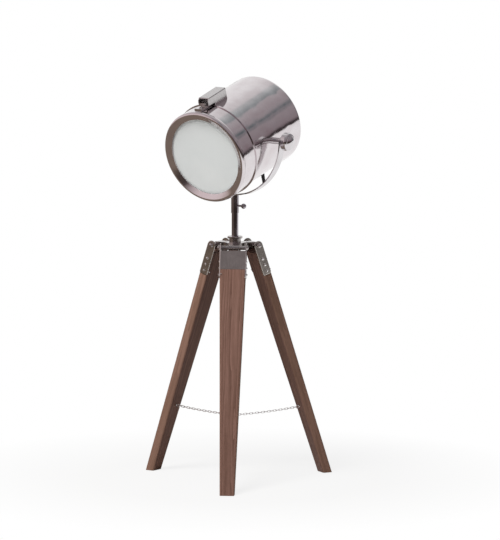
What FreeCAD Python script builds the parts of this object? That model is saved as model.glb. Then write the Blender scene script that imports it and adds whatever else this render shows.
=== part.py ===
"""Tripod spotlight floor lamp: a drum spotlight in a yoke on a short pole,
carried by three hinged wooden legs that a chain holds at their spread.

Frame: millimetres, +Z up, origin on the floor under the pole. The front leg points to -Y.
Head pieces share a frame at the tilt pivot: X along the pivot axis to the right-hand knob,
Y towards the back of the drum, Z square to both.
"""
import FreeCAD, Part
import math
import os
import Sketcher

os.makedirs("parts", exist_ok=True)
doc = FreeCAD.newDocument("TripodSpotlight")
Vector = FreeCAD.Vector
Rotation = FreeCAD.Rotation

# ---------------------------------------------------------------- driving sizes
SIZES = {
    # tripod
    "hinge_circle_r": 48.7,
    "hinge_height": 579,
    "foot_circle_r": 245.5,
    "leg_count": 3,
    "board_thick": 23,
    "board_top_width": 66,
    "board_foot_width": 34.6,
    "board_top_gap": 18,
    "board_edge_r": 4,
    "wood_fit": 0.2,
    # folded leg caps
    "cap_width": 65.4,
    "cap_wall": 2.5,
    "cap_plate_top": 9,
    "cap_plate_end": 55,
    "cap_cheek_end": 77,
    "cap_corner_r": 5,
    "cap_bend_r": 2.2,
    # hinge bolts
    "bolt_d": 6,
    "bolt_run_fit": 0.05,
    "bolt_head_d": 12.6,
    "bolt_head_high": 4.4,
    "bolt_tail": 5,
    "nut_d": 12,
    "nut_high": 7.5,
    "nut_dome_high": 4.8,
    "spacer_d": 10,
    "spacer_gap": 0.3,
    # cheek screws
    "screw_first": 35,
    "screw_pitch": 16,
    "screw_count": 3,
    "screw_d": 3.6,
    "screw_long": 20,
    "screw_head_d": 7.6,
    "screw_head_high": 2.4,
    "screw_fit": 0.1,
    # chain
    "eye_down": 430,
    "eye_ring_r": 4.2,
    "eye_wire_d": 2,
    "eye_shank_d": 3,
    "eye_shank_long": 9,
    "link_long": 11.4,
    "link_wide": 5.6,
    "link_wire_d": 1.5,
    "link_play": 0.1,
    "chain_drop": 7.9,
    "centre_ring_r": 9,
    "centre_ring_wire_d": 2.5,
    # hub and pole
    "hub_core_d": 44.6,
    "hub_high": 14.5,
    "hub_neck_d": 29,
    "hub_neck_high": 10.5,
    "lug_width": 24,
    "lug_end_r": 7.2,
    "flange_d": 37,
    "flange_high": 5,
    "flange_bevel": 1,
    "pole_d": 16.5,
    "pole_wall": 1.5,
    "pole_fit": 0.05,
    "pole_tail": 12,
    "pole_nut_across": 24,
    "pole_nut_high": 8,
    # sleeve and thumb screw
    "sleeve_d": 19,
    "sleeve_long": 44.7,
    "sleeve_plug": 14,
    "sleeve_run_fit": 0.08,
    "pole_end_gap": 0.3,
    "thumb_height": 18.2,
    "thumb_shank_d": 5,
    "thumb_ball_d": 13,
    "thumb_reach": 26,
    "thumb_tip_gap": 0.3,
    # yoke
    "pivot_height": 845.5,
    "yoke_gap": 25.5,
    "yoke_thick": 3,
    "yoke_width": 21,
    "yoke_arm_top": 10.5,
    "yoke_screw_d": 5,
    "yoke_screw_long": 13,
    "yoke_screw_head_d": 10,
    "yoke_screw_head_high": 2.4,
    "head_pan": -31.3,
    "head_tilt": 16,
    # tilt pivots and knobs
    "stud_d": 8,
    "stud_run_fit": 0.05,
    "boss_d": 24,
    "boss_thick": 7,
    "pivot_spacer_d": 16,
    "washer_d": 24,
    "washer_thick": 1.5,
    "knob_gap": 0.3,
    "knob_d": 44,
    "knob_base_d": 20,
    "knob_flare": 7,
    "knob_rim": 10,
    "knob_dome": 4.5,
    "knob_crown_r": 15.4,
    # drum
    "drum_r": 113,
    "drum_wall": 1.1,
    "drum_back": 127.4,
    "drum_front": 84,
    "drum_edge_r": 10,
    # cable gland under the drum
    "gland_back": 83,
    "gland_neck_d": 9.6,
    "gland_flange_d": 15,
    "gland_flange_high": 3,
    "gland_boot_d": 9.8,
    "gland_tip_d": 8.2,
    "gland_bore_d": 6,
    "gland_ribs": 6,
    "gland_groove_share": 0.86,
    "gland_slot_share": 0.35,
    "gland_tail": 6,
    "gland_rib_pitch": 6.2,
    "gland_nut_d": 18,
    "gland_nut_high": 4,
    # inside the drum
    "reflector_flange": 4.2,
    "reflector_wall": 1,
    "reflector_at": 68,
    "reflector_throat_r": 24,
    "reflector_fit": 0.3,
    "holder_d": 38,
    "holder_long": 50,
    "holder_back": 98,
    "holder_bore_d": 27,
    "bracket_flange_r": 30,
    "bracket_plate": 2,
    "bracket_post_d": 24,
    "bracket_screw_at": 22,
    "bracket_screw_d": 4,
    "bulb_base_d": 26.4,
    "bulb_shoulder": 1.5,
    "bulb_shoulder_high": 3,
    "bulb_waist_r": 24,
    "bulb_base_long": 27,
    "bulb_d": 60,
    "bulb_long": 110,
    # front door
    "door_rear": 77.3,
    "door_lip_out": 6,
    "door_lip_thick": 3,
    "door_lip_fit": 0.5,
    "door_band_out": 3.6,
    "door_rim_out": 4.3,
    "door_wall": 1.7,
    "door_deep": 58.7,
    "door_rim_corner_r": 8,
    "door_sight_in": 15.6,
    "door_sight_deep": 52.4,
    "glass_seat": 50.2,
    "gasket_thick": 1.5,
    "glass_fit": 3.6,
    "glass_thick": 3,
    "retainer_width": 9,
    "retainer_thick": 2,
    "retainer_fit": 0.2,
    # door hinge at the bottom
    "hinge_lip_gap": 0.7,
    "hinge_barrel_d": 8,
    "hinge_pin_d": 3.6,
    "hinge_knuckle": 12,
    "hinge_gap": 0.3,
    "hinge_leaf_thick": 2.5,
    "hinge_leaf_long": 18,
    # spring catch on top
    "lip_clear": 3.3,
    "catch_width": 30,
    "catch_wall": 2,
    "catch_high": 28,
    "catch_base_thick": 4,
    "catch_base_long": 51,
    "catch_nose_drop": 6,
    "catch_reach": 22,
    "leaf_width": 20,
    "leaf_thick": 1.2,
    "leaf_foot": 28,
    "leaf_ramp": 16,
    "leaf_hook": 4.8,
    "leaf_tab": 8,
    "rivet_d": 3,
    "rivet_apart": 11,
    "rivet_back": 38,
    "keeper_width": 20,
    "keeper_thick": 3,
    "keeper_long": 42,
    "keeper_post": 7.4,
    "keeper_tab_thick": 2.5,
    "keeper_tab_high": 4.5,
    "keeper_screw_ahead": 9,
    "keeper_screw_d": 4,
    "keeper_screw_head_high": 2.8,
    "pin_run_fit": 0.05,
    "seat_gap": 0.05,
}

sheet = doc.addObject("Spreadsheet::Sheet", "Sizes")
for row, (alias, number) in enumerate(SIZES.items(), start=1):
    sheet.set(f"A{row}", alias)
    sheet.set(f"B{row}", str(number))
    sheet.setAlias(f"B{row}", alias)
doc.recompute()


class Size:
    """A number together with the sheet expression that gives it."""

    def __init__(self, value, text=None):
        self.value = float(value)
        self.text = text or repr(float(value))

    def __add__(self, other):
        other = as_size(other)
        return Size(self.value + other.value, f"({self.text} + {other.text})")

    def __sub__(self, other):
        other = as_size(other)
        return Size(self.value - other.value, f"({self.text} - {other.text})")

    def __mul__(self, other):
        other = as_size(other)
        return Size(self.value * other.value, f"({self.text} * {other.text})")

    def __truediv__(self, other):
        other = as_size(other)
        return Size(self.value / other.value, f"({self.text} / {other.text})")

    def __neg__(self):
        return Size(-self.value, f"(-1 * {self.text})")

    __radd__ = __add__
    __rmul__ = __mul__

    def __rsub__(self, other):
        return as_size(other) - self


def as_size(number):
    return number if isinstance(number, Size) else Size(number)


def root(size):
    return Size(math.sqrt(size.value), f"sqrt({size.text})")


def hypot(one, two):
    return root(one * one + two * two)


def leg_of(long_side, short_side):
    """The other short side of a right triangle."""
    return root(long_side * long_side - short_side * short_side)


class Sheet:
    """The sheet's cells as sizes, by their aliases."""

    def __getattr__(self, alias):
        return Size(sheet.get(alias), f"Sizes.{alias}")


s = Sheet()


# ---------------------------------------------------------------- building functions
def new_body(name):
    body = doc.addObject("PartDesign::Body", name)
    body.Label = name
    return body


def origin_item(body, role):
    return next(item for item in body.Origin.OriginFeatures if item.Role == role)


def new_sketch(body, plane):
    sketch = body.newObject("Sketcher::SketchObject", f"{body.Name}_sketch")
    sketch.AttachmentSupport = (origin_item(body, plane), [""])
    sketch.MapMode = "FlatFace"
    return sketch


def fix(sketch, geometry, point, axis, size):
    """Hold one coordinate of a sketch point at a size from the sheet."""
    size = as_size(size)
    if abs(size.value) < 1e-9:
        sketch.addConstraint(Sketcher.Constraint("PointOnObject", geometry, point, -2 if axis == "X" else -1))
        return
    ends = (-1, 1, geometry, point) if size.value > 0 else (geometry, point, -1, 1)
    index = sketch.addConstraint(Sketcher.Constraint(f"Distance{axis}", *ends, abs(size.value)))
    name = f"{axis.lower()}_{index}"
    sketch.renameConstraint(index, name)
    sketch.setExpression(f"Constraints.{name}", size.text if size.value > 0 else (-size).text)


def outline(sketch, corners):
    """Draw a closed loop. A corner is (x, y), or (x, y, centre, turn) for an arc that reaches it:
    turn is +1 anticlockwise or -1 clockwise."""
    points = [Vector(as_size(c[0]).value, as_size(c[1]).value, 0) for c in corners]
    runs = []
    for i, corner in enumerate(corners):
        start, end = points[i - 1], points[i]
        if len(corner) == 2:
            geometry = sketch.addGeometry(Part.LineSegment(start, end))
            runs.append((geometry, 1, 2))
            continue
        centre = Vector(as_size(corner[2][0]).value, as_size(corner[2][1]).value, 0)
        first, last = (start, end) if corner[3] > 0 else (end, start)
        angle_a = math.atan2(first.y - centre.y, first.x - centre.x)
        angle_b = math.atan2(last.y - centre.y, last.x - centre.x)
        if angle_b <= angle_a:
            angle_b += 2 * math.pi
        circle = Part.Circle(centre, Vector(0, 0, 1), start.distanceToPoint(centre))
        geometry = sketch.addGeometry(Part.ArcOfCircle(circle, angle_a, angle_b))
        runs.append((geometry, 1, 2) if corner[3] > 0 else (geometry, 2, 1))
        chord = end - start
        held = "X" if abs(chord.y) > abs(chord.x) else "Y"
        fix(sketch, geometry, 3, held, corner[2][0] if held == "X" else corner[2][1])
    for i, (geometry, start, end) in enumerate(runs):
        following = runs[(i + 1) % len(runs)]
        sketch.addConstraint(Sketcher.Constraint("Coincident", geometry, end, following[0], following[1]))
        fix(sketch, geometry, end, "X", corners[i][0])
        fix(sketch, geometry, end, "Y", corners[i][1])


def ring(sketch, x, y, diameter):
    """Draw a circle whose centre and diameter come from the sheet."""
    centre = Vector(as_size(x).value, as_size(y).value, 0)
    geometry = sketch.addGeometry(Part.Circle(centre, Vector(0, 0, 1), diameter.value / 2))
    index = sketch.addConstraint(Sketcher.Constraint("Diameter", geometry, diameter.value))
    sketch.renameConstraint(index, f"wide_{index}")
    sketch.setExpression(f"Constraints.wide_{index}", diameter.text)
    fix(sketch, geometry, 3, "X", x)
    fix(sketch, geometry, 3, "Y", y)


def turn(body, corners):
    """Revolve an outline of (radius, height) corners about the body's Z axis."""
    sketch = new_sketch(body, "XZ_Plane")
    outline(sketch, corners)
    feature = body.newObject("PartDesign::Revolution", f"{body.Name}_turned")
    feature.Profile = sketch
    feature.ReferenceAxis = (sketch, ["V_Axis"])
    feature.Angle = 360
    doc.recompute()
    return feature


def pad(body, plane, corners, length):
    """Pad an outline by a length, half to each side of the plane."""
    sketch = new_sketch(body, plane)
    outline(sketch, corners)
    feature = body.newObject("PartDesign::Pad", f"{body.Name}_pad")
    feature.Profile = sketch
    feature.SideType = "Symmetric"
    feature.setExpression("Length", as_size(length).text)
    doc.recompute()
    return feature


def cut(body, plane, draw, side="both"):
    """Cut what draw(sketch) draws right through, to both sides of the plane or to one."""
    before = body.Shape.Volume
    sketch = new_sketch(body, plane)
    draw(sketch)
    feature = body.newObject("PartDesign::Pocket", f"{body.Name}_cut")
    feature.Profile = sketch
    feature.Type = "ThroughAll"
    if side == "both":
        feature.SideType = "Symmetric"
    else:
        feature.Reversed = side == "along"
    doc.recompute()
    if not body.Shape.Volume < before - 1e-6:
        raise RuntimeError(f"{body.Name}: a cut removed nothing")
    return feature


def round_edges(body, radius, wanted):
    """Fillet the body's edges that wanted(edge) picks."""
    base = body.Tip
    names = [f"Edge{i}" for i, edge in enumerate(base.Shape.Edges, start=1) if wanted(edge)]
    if not names:
        raise RuntimeError(f"{body.Name}: no edge to round")
    feature = body.newObject("PartDesign::Fillet", f"{body.Name}_round")
    feature.Base = (base, names)
    feature.setExpression("Radius", as_size(radius).text)
    doc.recompute()
    return feature


def mirror(body, features, plane):
    """Repeat features on the other side of one of the body's planes."""
    feature = body.newObject("PartDesign::Mirrored", f"{body.Name}_pair")
    feature.Originals = features
    feature.MirrorPlane = (origin_item(body, plane), [""])
    body.Tip = feature
    doc.recompute()
    return feature


def at(x=0.0, y=0.0, z=0.0):
    values = [as_size(v).value for v in (x, y, z)]
    return FreeCAD.Placement(Vector(*values), Rotation())


def spin(axis, degrees):
    axes = {"X": Vector(1, 0, 0), "Y": Vector(0, 1, 0), "Z": Vector(0, 0, 1)}
    return FreeCAD.Placement(Vector(), Rotation(axes[axis], as_size(degrees).value))


Z_TO_X = spin("Y", 90)
Z_TO_MINUS_X = spin("Y", -90)
Z_TO_MINUS_Y = spin("X", 90)
Z_TO_MINUS_Z = spin("X", 180)

nodes = {}


def keep(item, placement):
    item.Placement = placement
    nodes[item.Label] = item


# ---------------------------------------------------------------- radii that follow the drum's
drum_inside = s.drum_r - s.drum_wall
yoke_r = s.drum_r + s.yoke_gap + s.yoke_thick
reflector_r = drum_inside - s.reflector_flange
door_lip_r = s.drum_r + s.door_lip_out
door_band_r = s.drum_r + s.door_band_out
door_rim_r = s.drum_r + s.door_rim_out
door_sight_r = s.drum_r - s.door_sight_in
door_inside = door_band_r - s.door_wall
glass_r = door_inside - s.glass_fit
door_hinge_r = door_lip_r + s.hinge_lip_gap + s.hinge_barrel_d / 2

# ---------------------------------------------------------------- frames
spread = s.foot_circle_r - s.hinge_circle_r
slope = spread / s.hinge_height
leg_length = hypot(spread, s.hinge_height)
splay = math.degrees(math.atan2(spread.value, s.hinge_height.value))
LEGS = {"front": -90.0, "right": 30.0, "left": 150.0}


def leg_frame(azimuth):
    """Hinge axis along X, outward along Y, the leg hanging down -Z."""
    return spin("Z", azimuth - 90) * at(y=s.hinge_circle_r, z=s.hinge_height) * spin("X", splay)


turret = at(z=s.pivot_height) * spin("Z", s.head_pan)
head = turret * spin("X", s.head_tilt)


def drum_axis(ahead):
    """Turned pieces on the drum's axis: their height runs forward from this place."""
    return head * at(y=-as_size(ahead)) * Z_TO_MINUS_Y


# ---------------------------------------------------------------- legs
half_thick = s.board_thick / 2
half_cap = s.cap_width / 2
cap_inside = half_cap - s.cap_wall
wood_half = cap_inside - s.wood_fit
plate_inside = half_thick - s.cap_wall


def leg_board(name):
    """A tapered flat board, cut level at the floor and let in under the metal cap."""
    body = new_body(name)
    top = -s.board_top_gap
    end = -(leg_length + s.board_thick)
    half_top = s.board_top_width / 2
    half_end = s.board_foot_width / 2
    corners = [(-half_top, top), (half_top, top), (half_end, end), (-half_end, end)]
    pad(body, "XZ_Plane", corners, s.board_thick)
    round_edges(body, s.board_edge_r, lambda e: e.Length > 10 * s.board_thick.value)
    inner = -s.board_thick
    outer = s.board_thick

    def below_floor(sketch):
        outline(sketch, [
            (inner, -(leg_length + inner * slope)), (inner, end - s.board_thick),
            (outer, end - s.board_thick), (outer, -(leg_length + outer * slope)),
        ])

    def cheek_seats(sketch):
        low = -(s.cap_cheek_end + s.wood_fit)
        for sign in (1, -1):
            near = wood_half * sign
            far = (half_top + s.board_thick) * sign
            outline(sketch, [(near, low), (far, low), (far, Size(0)), (near, Size(0))])

    def plate_seat(sketch):
        low = -(s.cap_plate_end + s.wood_fit)
        near = plate_inside - s.wood_fit
        outline(sketch, [(near, low), (outer, low), (outer, Size(0)), (near, Size(0))])

    def screw_holes(sketch):
        for i in range(int(s.screw_count.value)):
            ring(sketch, 0, -(s.screw_first + s.screw_pitch * i), s.screw_d + s.screw_fit)

    cut(body, "YZ_Plane", below_floor)
    cut(body, "XZ_Plane", cheek_seats)
    cut(body, "YZ_Plane", plate_seat)
    cut(body, "YZ_Plane", screw_holes)
    cut(body, "XZ_Plane", lambda sk: ring(sk, 0, -s.eye_down, s.eye_shank_d + s.screw_fit), "along")
    return body


def leg_cap(name):
    """Folded sheet: an outer plate and two cheeks that rise as ears round the hinge bolt."""
    body = new_body(name)
    end = -s.cap_cheek_end
    corner = s.cap_corner_r
    straight = half_thick - corner
    pad(body, "YZ_Plane", [
        (-half_thick, end + corner), (-straight, end, (-straight, end + corner), 1),
        (straight, end), (half_thick, end + corner, (straight, end + corner), 1),
        (half_thick, 0), (-half_thick, 0, (Size(0), Size(0)), 1),
    ], s.cap_width)
    cut(body, "XY_Plane", lambda sk: outline(sk, [
        (-cap_inside, -s.board_thick), (cap_inside, -s.board_thick),
        (cap_inside, plate_inside), (-cap_inside, plate_inside),
    ]))

    def above_and_below_plate(sketch):
        outline(sketch, [(-cap_inside, -s.cap_plate_top), (cap_inside, -s.cap_plate_top),
                         (cap_inside, s.board_thick), (-cap_inside, s.board_thick)])
        outline(sketch, [(-cap_inside, end - corner), (cap_inside, end - corner),
                         (cap_inside, -s.cap_plate_end), (-cap_inside, -s.cap_plate_end)])

    cut(body, "XZ_Plane", above_and_below_plate)

    def bend(edge):
        middle = edge.CenterOfMass
        upright = abs(edge.tangentAt(edge.FirstParameter).z) > 0.99
        on_corner = abs(abs(middle.x) - half_cap.value) < 1e-3 and abs(middle.y - half_thick.value) < 1e-3
        return upright and on_corner

    round_edges(body, s.cap_bend_r, bend)

    def holes(sketch):
        ring(sketch, 0, 0, s.bolt_d + s.bolt_run_fit * 2)
        for i in range(int(s.screw_count.value)):
            ring(sketch, 0, -(s.screw_first + s.screw_pitch * i), s.screw_d + s.screw_fit * 2)

    cut(body, "YZ_Plane", holes)
    return body


def domed_pin(name, head_r, head_high, shank_r, length):
    """A turned pin: its domed head is below zero height, its shank above."""
    body = new_body(name)
    dome_r = (head_r * head_r + head_high * head_high) / (head_high * 2)
    turn(body, [
        (0, length), (0, -head_high),
        (head_r, 0, (Size(0), dome_r - head_high), 1),
        (shank_r, 0), (shank_r, length),
    ])
    return body


def dome_nut(name):
    """A cap nut that closes over the end of a hinge bolt."""
    body = new_body(name)
    bore = s.bolt_d / 2 + s.bolt_run_fit
    outer = s.nut_d / 2
    dome_r = (outer * outer + s.nut_dome_high * s.nut_dome_high) / (s.nut_dome_high * 2)
    flat = s.nut_high - s.nut_dome_high
    turn(body, [
        (bore, 0), (outer, 0), (outer, flat),
        (0, s.nut_high, (Size(0), s.nut_high - dome_r), 1),
        (0, s.bolt_tail + s.bolt_run_fit), (bore, s.bolt_tail + s.bolt_run_fit),
    ])
    return body


def spacer_pair(name):
    """Two tubes on the hinge bolt, between the hub's lug and the ears."""
    body = new_body(name)
    near = s.lug_width / 2 + s.spacer_gap
    bore = s.bolt_d / 2 + s.bolt_run_fit
    outer = s.spacer_d / 2
    tube = turn(body, [(bore, near), (outer, near), (outer, cap_inside), (bore, cap_inside)])
    mirror(body, [tube], "XY_Plane")
    return body


def cheek_screws(name):
    """The round-head screws of both cheeks, in rows."""
    body = new_body(name)
    head_r = s.screw_head_d / 2
    dome_r = (head_r * head_r + s.screw_head_high * s.screw_head_high) / (s.screw_head_high * 2)
    tip = half_cap - s.screw_long
    screw = turn(body, [
        (0, tip), (s.screw_d / 2, tip), (s.screw_d / 2, half_cap), (head_r, half_cap),
        (0, half_cap + s.screw_head_high, (Size(0), half_cap + s.screw_head_high - dome_r), 1),
    ])
    both = body.newObject("PartDesign::MultiTransform", f"{name}_rows")
    both.Originals = [screw]
    row = body.newObject("PartDesign::LinearPattern", f"{name}_row")
    row.Direction = (origin_item(body, "X_Axis"), [""])
    row.setExpression("Length", (s.screw_pitch * (s.screw_count - 1)).text)
    row.setExpression("Occurrences", s.screw_count.text)
    pair = body.newObject("PartDesign::Mirrored", f"{name}_pair")
    pair.MirrorPlane = (origin_item(body, "XY_Plane"), [""])
    both.Transformations = [row, pair]
    body.Tip = both
    doc.recompute()
    return body


def chain_eye(name):
    """A screw eye: a wire ring on a shank."""
    loop = doc.addObject("Part::Torus", f"{name}_ring")
    loop.setExpression("Radius1", s.eye_ring_r.text)
    loop.setExpression("Radius2", (s.eye_wire_d / 2).text)
    loop.Placement = Z_TO_X
    shank = doc.addObject("Part::Cylinder", f"{name}_shank")
    shank.setExpression("Radius", (s.eye_shank_d / 2).text)
    shank.setExpression("Height", (s.eye_shank_long + s.eye_wire_d / 2).text)
    shank.Placement = at(y=s.eye_ring_r) * spin("X", -90)
    eye = doc.addObject("Part::Fuse", name)
    eye.Base = loop
    eye.Tool = shank
    eye.Label = name
    doc.recompute()
    return eye


def link_shape():
    """One chain link along X, its loop in the XY plane."""
    wire_r = s.link_wire_d.value / 2
    bend_r = s.link_wide.value / 2 - wire_r
    half = s.link_long.value / 2 - wire_r - bend_r
    arcs = [
        Part.LineSegment(Vector(-half, -bend_r, 0), Vector(half, -bend_r, 0)),
        Part.Arc(Vector(half, -bend_r, 0), Vector(half + bend_r, 0, 0), Vector(half, bend_r, 0)),
        Part.LineSegment(Vector(half, bend_r, 0), Vector(-half, bend_r, 0)),
        Part.Arc(Vector(-half, bend_r, 0), Vector(-half - bend_r, 0, 0), Vector(-half, -bend_r, 0)),
    ]
    path = Part.Wire([arc.toShape() for arc in arcs])
    section = Part.Wire([Part.Circle(Vector(0, -bend_r, 0), Vector(1, 0, 0), wire_r).toShape()])
    return path.makePipeShell([section], True, True)


def chain_strand(name, azimuth, eye_centre):
    """Links from the eye in the leg to the centre ring, in a shallow sag."""
    link = link_shape()
    wire_d = s.link_wire_d.value
    end_wire = s.link_long.value / 2 - wire_d / 2
    eye_r = math.hypot(eye_centre.x, eye_centre.y)
    eye_inside = s.eye_ring_r.value - s.eye_wire_d.value / 2 - wire_d / 2 - s.link_play.value
    first = eye_r - eye_inside - end_wire
    ring_inside = s.centre_ring_wire_d.value / 2 + wire_d / 2 + s.link_play.value
    last = s.centre_ring_r.value - ring_inside + end_wire
    longest_step = s.link_long.value - 2 * wire_d
    steps = math.ceil((first - last) / longest_step)
    steps += 1 - steps % 2
    ring_z = eye_centre.z - s.chain_drop.value
    links = []
    for i in range(steps + 1):
        out = first + (last - first) * i / steps
        share = (out - last) / (first - last)
        up = ring_z + s.chain_drop.value * share ** 2
        lean = math.degrees(math.atan2(2 * s.chain_drop.value * share, first - last))
        place = spin("Z", azimuth) * at(x=out, z=up) * spin("Y", -lean) * spin("X", 90 * (i % 2))
        copy = link.copy()
        copy.Placement = place
        links.append(copy)
    strand = doc.addObject("Part::Feature", name)
    strand.Label = name
    strand.Shape = Part.Compound(links)
    return strand


for side, azimuth in LEGS.items():
    frame = leg_frame(azimuth)
    leg = f"leg_{side}"
    keep(leg_board(f"{leg}_board"), frame)
    keep(leg_cap(f"{leg}_cap"), frame)
    bolt = domed_pin(f"{leg}_hinge_bolt", s.bolt_head_d / 2, s.bolt_head_high, s.bolt_d / 2,
                     s.cap_width + s.bolt_tail)
    keep(bolt, frame * at(x=-half_cap) * Z_TO_X)
    keep(dome_nut(f"{leg}_hinge_nut"), frame * at(x=half_cap) * Z_TO_X)
    keep(spacer_pair(f"{leg}_hinge_spacers"), frame * Z_TO_X)
    keep(cheek_screws(f"{leg}_cap_screws"), frame * at(z=-s.screw_first) * Z_TO_X)
    eye_place = frame * at(y=-(half_thick + s.eye_ring_r + s.eye_wire_d / 2), z=-s.eye_down)
    keep(chain_eye(f"{leg}_chain_eye"), eye_place)
    keep(chain_strand(f"{leg}_chain", azimuth, eye_place.Base), at())

chain_ring = doc.addObject("Part::Torus", "chain_ring")
chain_ring.Label = "chain_ring"
chain_ring.setExpression("Radius1", s.centre_ring_r.text)
chain_ring.setExpression("Radius2", (s.centre_ring_wire_d / 2).text)
doc.recompute()
keep(chain_ring, at(z=eye_place.Base.z - s.chain_drop.value))


# ---------------------------------------------------------------- hub and pole
pole_bore = s.pole_d / 2 + s.pole_fit
hub_foot = s.hinge_height - s.lug_end_r


def hub():
    """Round core with a neck and three lugs that the leg bolts pass through."""
    body = new_body("hub")
    top = s.hub_high + s.hub_neck_high
    turn(body, [
        (pole_bore, 0), (s.hub_core_d / 2, 0), (s.hub_core_d / 2, s.hub_high),
        (s.hub_neck_d / 2, s.hub_high), (s.hub_neck_d / 2, top), (pole_bore, top),
    ])
    inner = (pole_bore + s.hub_core_d / 2) / 2
    lug = pad(body, "YZ_Plane", [
        (inner, 0), (s.hinge_circle_r, 0),
        (s.hinge_circle_r, s.lug_end_r * 2, (s.hinge_circle_r, s.lug_end_r), 1),
        (inner, s.lug_end_r * 2),
    ], s.lug_width)
    around = body.newObject("PartDesign::PolarPattern", "hub_lugs")
    around.Originals = [lug]
    around.Axis = (origin_item(body, "Z_Axis"), [""])
    around.Angle = 360
    around.setExpression("Occurrences", s.leg_count.text)
    body.Tip = around
    doc.recompute()
    hole = cut(body, "YZ_Plane",
               lambda sk: ring(sk, s.hinge_circle_r, s.lug_end_r, s.bolt_d + s.bolt_run_fit * 2))
    holes = body.newObject("PartDesign::PolarPattern", "hub_lug_holes")
    holes.Originals = [hole]
    holes.Axis = (origin_item(body, "Z_Axis"), [""])
    holes.Angle = 360
    holes.setExpression("Occurrences", s.leg_count.text)
    body.Tip = holes
    doc.recompute()
    return body


def tube(name, outer_r, inner_r, length):
    body = new_body(name)
    turn(body, [(inner_r, 0), (outer_r, 0), (outer_r, length), (inner_r, length)])
    return body


def hub_flange():
    """Bevelled ring that sits on the hub's neck round the pole."""
    body = new_body("hub_flange")
    wide = s.flange_d / 2
    bevel = s.flange_bevel
    turn(body, [
        (pole_bore, 0), (wide - bevel, 0), (wide, bevel), (wide, s.flange_high - bevel),
        (wide - bevel, s.flange_high), (pole_bore, s.flange_high),
    ])
    return body


def pole_nut():
    """Hexagon nut that pulls the pole's foot up against the hub."""
    block = doc.addObject("Part::Prism", "pole_nut_block")
    block.Polygon = 6
    block.setExpression("Circumradius", (s.pole_nut_across / math.sqrt(3)).text)
    block.setExpression("Height", s.pole_nut_high.text)
    bore = doc.addObject("Part::Cylinder", "pole_nut_bore")
    bore.setExpression("Radius", pole_bore.text)
    bore.setExpression("Height", s.pole_nut_high.text)
    nut = doc.addObject("Part::Cut", "pole_nut")
    nut.Base = block
    nut.Tool = bore
    nut.Label = "pole_nut"
    doc.recompute()
    return nut


sleeve_top = s.pivot_height - yoke_r
sleeve_foot = sleeve_top - s.sleeve_long
pole_foot = hub_foot - s.pole_tail
pole_top = sleeve_top - s.sleeve_plug - s.pole_end_gap
keep(hub(), at(z=hub_foot) * spin("Z", 180))
keep(hub_flange(), at(z=hub_foot + s.hub_high + s.hub_neck_high))
keep(tube("pole", s.pole_d / 2, s.pole_d / 2 - s.pole_wall, pole_top - pole_foot), at(z=pole_foot))
keep(pole_nut(), at(z=hub_foot - s.pole_nut_high))


# ---------------------------------------------------------------- sleeve, thumb screw, yoke
def sleeve():
    """Tube that turns on the pole; its solid top carries the yoke."""
    body = new_body("sleeve")
    outer = s.sleeve_d / 2
    bore = s.pole_d / 2 + s.sleeve_run_fit
    floor = s.sleeve_long - s.sleeve_plug
    screw = s.yoke_screw_d / 2 + s.seat_gap
    depth = s.yoke_screw_long - s.yoke_thick + s.seat_gap
    turn(body, [
        (bore, 0), (outer, 0), (outer, s.sleeve_long), (screw, s.sleeve_long),
        (screw, s.sleeve_long - depth), (0, s.sleeve_long - depth), (0, floor), (bore, floor),
    ])
    hole_d = s.thumb_shank_d + s.pin_run_fit * 2
    cut(body, "YZ_Plane", lambda sk: ring(sk, 0, s.thumb_height, hole_d), "along")
    return body


def thumb_screw():
    """A screw with a ball head, square to the sleeve."""
    body = new_body("thumb_screw")
    shank = s.thumb_shank_d / 2
    ball = s.thumb_ball_d / 2
    tip = s.pole_d / 2 + s.thumb_tip_gap
    neck = s.thumb_reach - leg_of(ball, shank)
    turn(body, [
        (0, tip), (shank, tip), (shank, neck),
        (0, s.thumb_reach + ball, (Size(0), s.thumb_reach), 1),
    ])
    return body


def yoke_strap():
    """Flat strap bent to a half circle, with round-ended arms."""
    body = new_body("yoke_strap")
    outer = yoke_r
    inner = yoke_r - s.yoke_thick
    top = s.yoke_arm_top
    middle = (Size(0), Size(0))
    pad(body, "XZ_Plane", [
        (-outer, top), (-outer, 0), (outer, 0, middle, 1), (outer, top),
        (inner, top), (inner, 0), (-inner, 0, middle, -1), (-inner, top),
    ], s.yoke_width)
    reach = s.yoke_thick.value * 1.01
    round_edges(body, s.yoke_width / 2 - s.seat_gap,
                lambda e: e.Length < reach and abs(e.CenterOfMass.z - top.value) < 1e-3)
    cut(body, "YZ_Plane", lambda sk: ring(sk, 0, 0, s.stud_d + s.stud_run_fit * 2))
    cut(body, "XY_Plane", lambda sk: ring(sk, 0, 0, s.yoke_screw_d + s.seat_gap * 2))
    return body


def friction_washers():
    body = new_body("friction_washers")
    bore = s.stud_d / 2 + s.stud_run_fit
    washer = turn(body, [
        (bore, yoke_r), (s.washer_d / 2, yoke_r),
        (s.washer_d / 2, yoke_r + s.washer_thick), (bore, yoke_r + s.washer_thick),
    ])
    mirror(body, [washer], "XY_Plane")
    return body


boss_face = leg_of(s.drum_r - s.drum_wall, s.boss_d / 2) - s.seat_gap
boss_inner = boss_face - s.boss_thick


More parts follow.
